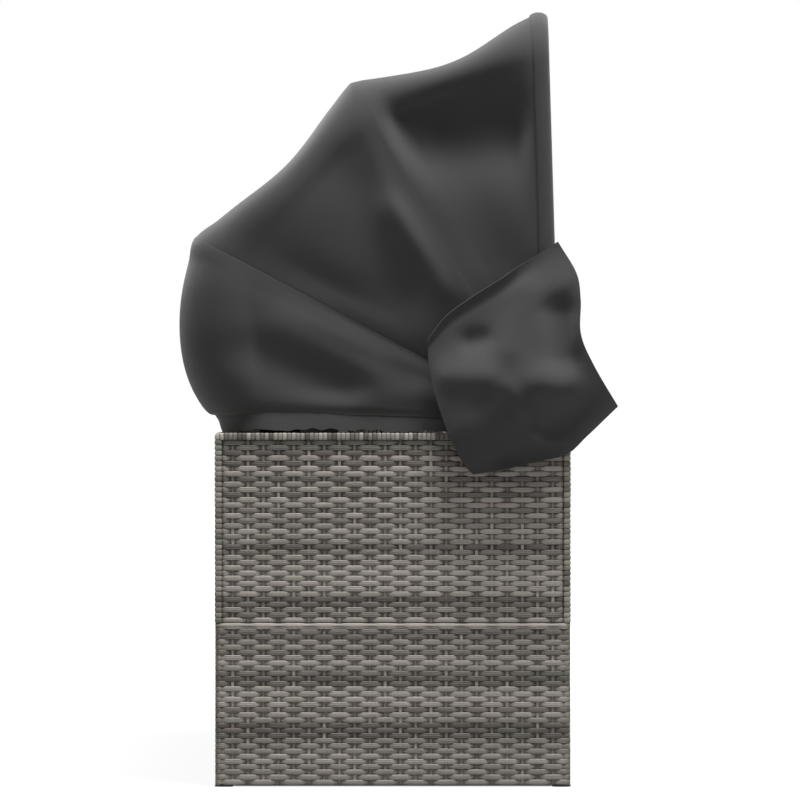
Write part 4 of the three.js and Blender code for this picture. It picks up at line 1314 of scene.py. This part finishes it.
class LOUNGER_OT_fittings(bpy.types.Operator):
    """Finishes the steel frames, hoops, pivots, bolts, glides and saddles"""

    bl_idname = "lounger.fittings"
    bl_label = "Frame and fittings"

    def execute(self, context):
        dress(painted_material("frame_coat", linear(56, 56, 57)), "_frame")
        dress(painted_material("hoop_coat", linear(70, 71, 74), 0.36), "_hoop", "_pivot_bracket")
        dress(zinc_material(), "_bolt", "_bolt_front", "_bolt_rear", "_bolt_left", "_bolt_right", "_nut")
        dress(moulded_material(), "_spacer", "_saddle", *(f"foot_glide_{i}" for i in range(1, 7)))
        return {"FINISHED"}


# Stage


def area_light(name, place, aim, size, power):
    light = bpy.data.lights.new(name, "AREA")
    light.shape = "RECTANGLE"
    light.size, light.size_y = size
    light.energy = power
    lamp = bpy.data.objects.new(name, light)
    lamp.location = place
    lamp.rotation_euler = (Vector(aim) - Vector(place)).to_track_quat("-Z", "Y").to_euler()
    bpy.context.scene.collection.objects.link(lamp)


# Each lamp's place, where it points, its size and its power.
LAMPS = {
    "Key": ((-1.95, -0.65, 4.8), (-1.0, 0, 0.6), (1.6, 2.0), 320),
    "Near": ((-6.5, -0.6, 1.9), (-1.0, 0, 0.5), (2.5, 2.5), 22),
    "Top": ((0.8, 0.3, 4.8), (0.3, 0, 0.6), (3, 2.4), 70),
    "Back": ((3.6, 3.2, 3.6), (0.4, 0, 0.6), (2.4, 2.4), 45),
    "Front": ((2.4, -4.2, 3.4), (0.2, 0, 0.6), (2.4, 2.4), 55),
}
# How bright the white surroundings are as light on the bench. Seen directly they are 1.
AMBIENT = 0.12
FLOOR_SIZE = 30
FLOOR_GLOW = 1.3


def floor_material():
    """A pale floor that catches shadows near the bench and shows as plain white further out."""
    shader = Shader("pale_floor", 0.9)
    grain = shader.noise(shader.place(), 3.0)
    shader.feed("Base Color", shader.mix(grain * 0.1, linear(158, 158, 158), linear(150, 150, 150)))
    x, y, _ = shader.parts(shader.place())
    away = shader.math("SQRT", x * x + y * y)
    beside_x = shader.between(shader.math("ABSOLUTE", x), 0.95, 1.0)
    beside_y = shader.between(shader.math("ABSOLUTE", y), 0.245, 0.285)
    white = (0.7 + shader.between(away, 1.0, 3.0) * 0.3) * shader.math("MAXIMUM", beside_x, beside_y)
    glow = shader.node("Emission", inputs={"Strength": FLOOR_GLOW})
    lit = Value(shader, shader.surface.outputs[0])
    both = shader.node("MixShader", inputs={0: shader.seen_directly() * white, 1: lit, 2: glow})
    shader.link(both, shader.tree.nodes["Material Output"].inputs["Surface"])
    return shader.material


class LOUNGER_OT_stage(bpy.types.Operator):
    """Sets the camera, lamps and a pale floor"""

    bl_idname = "lounger.stage"
    bl_label = "Stage"

    def execute(self, context):
        scene = context.scene
        stage = settings("stage")
        camera = bpy.data.cameras.new("Camera")
        camera.sensor_width = 36.0
        camera.lens = camera.sensor_width * stage.camera_distance / stage.view_width
        camera.clip_end = 100.0
        viewer = bpy.data.objects.new("Camera", camera)
        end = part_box("left_arm_rim")[0].x
        viewer.location = (end - stage.camera_distance, stage.aim_depth, stage.aim_height)
        viewer.rotation_euler = (math.pi / 2, 0, -math.pi / 2)
        scene.collection.objects.link(viewer)
        scene.camera = viewer

        world = bpy.data.worlds.new("World")
        world.use_nodes = True
        scene.world = world
        sky = Nodes(world.node_tree)
        background = sky.tree.nodes["Background"]
        background.inputs["Color"].default_value = (1, 1, 1, 1)
        sky.link(AMBIENT + sky.seen_directly() * (1 - AMBIENT), background.inputs["Strength"])
        for name, lamp in LAMPS.items():
            area_light(name, *lamp)

        bm = bmesh.new()
        bmesh.ops.create_grid(bm, x_segments=1, y_segments=1, size=FLOOR_SIZE)
        floor = bpy.data.objects.new("Floor", mesh_from(bm, "Floor", False))
        scene.collection.objects.link(floor)
        floor.data.materials.append(floor_material())
        scene.view_settings.view_transform = "Standard"
        return {"FINISHED"}


class LOUNGER_PT_panel(bpy.types.Panel):
    """Lists the steps that dress the lounger"""

    bl_idname = "LOUNGER_PT_panel"
    bl_label = "Canopy Sun Lounger"
    bl_space_type = "VIEW_3D"
    bl_region_type = "UI"
    bl_category = "Lounger"

    def draw(self, context):
        for operator in OPERATORS:
            self.layout.operator(operator.bl_idname)
        for group in SETTINGS:
            for name in group.__annotations__:
                self.layout.prop(settings(SETTINGS[group]), name)


OPERATORS = (LOUNGER_OT_stage, LOUNGER_OT_arm_and_back_weave, LOUNGER_OT_base_weave, LOUNGER_OT_rims,
             LOUNGER_OT_canopy_panels, LOUNGER_OT_hems, LOUNGER_OT_flaps, LOUNGER_OT_cushions,
             LOUNGER_OT_fittings)
SETTINGS = {WeaveSettings: "weave", CanopySettings: "canopy", CushionSettings: "cushions",
            StageSettings: "stage"}


def register():
    for group, name in SETTINGS.items():
        bpy.utils.register_class(group)
        setattr(bpy.types.Scene, "lounger_" + name, PointerProperty(type=group))
    for item in (*OPERATORS, LOUNGER_PT_panel):
        bpy.utils.register_class(item)


def unregister():
    for item in (*OPERATORS, LOUNGER_PT_panel):
        bpy.utils.unregister_class(item)
    for group, name in SETTINGS.items():
        delattr(bpy.types.Scene, "lounger_" + name)
        bpy.utils.unregister_class(group)


def main():
    register()
    wicker_material()
    cloth_material("canopy_weave", tuple(settings("canopy").cloth), 1.1 * MM, 0.35, 0.08)
    cloth_material("cushion_weave", tuple(settings("cushions").cover), 1.3 * MM, 0.2, 0.16)
    for operator in OPERATORS:
        group, name = operator.bl_idname.split(".")
        getattr(getattr(bpy.ops, group), name)()


if __name__ == "__main__":
    main()
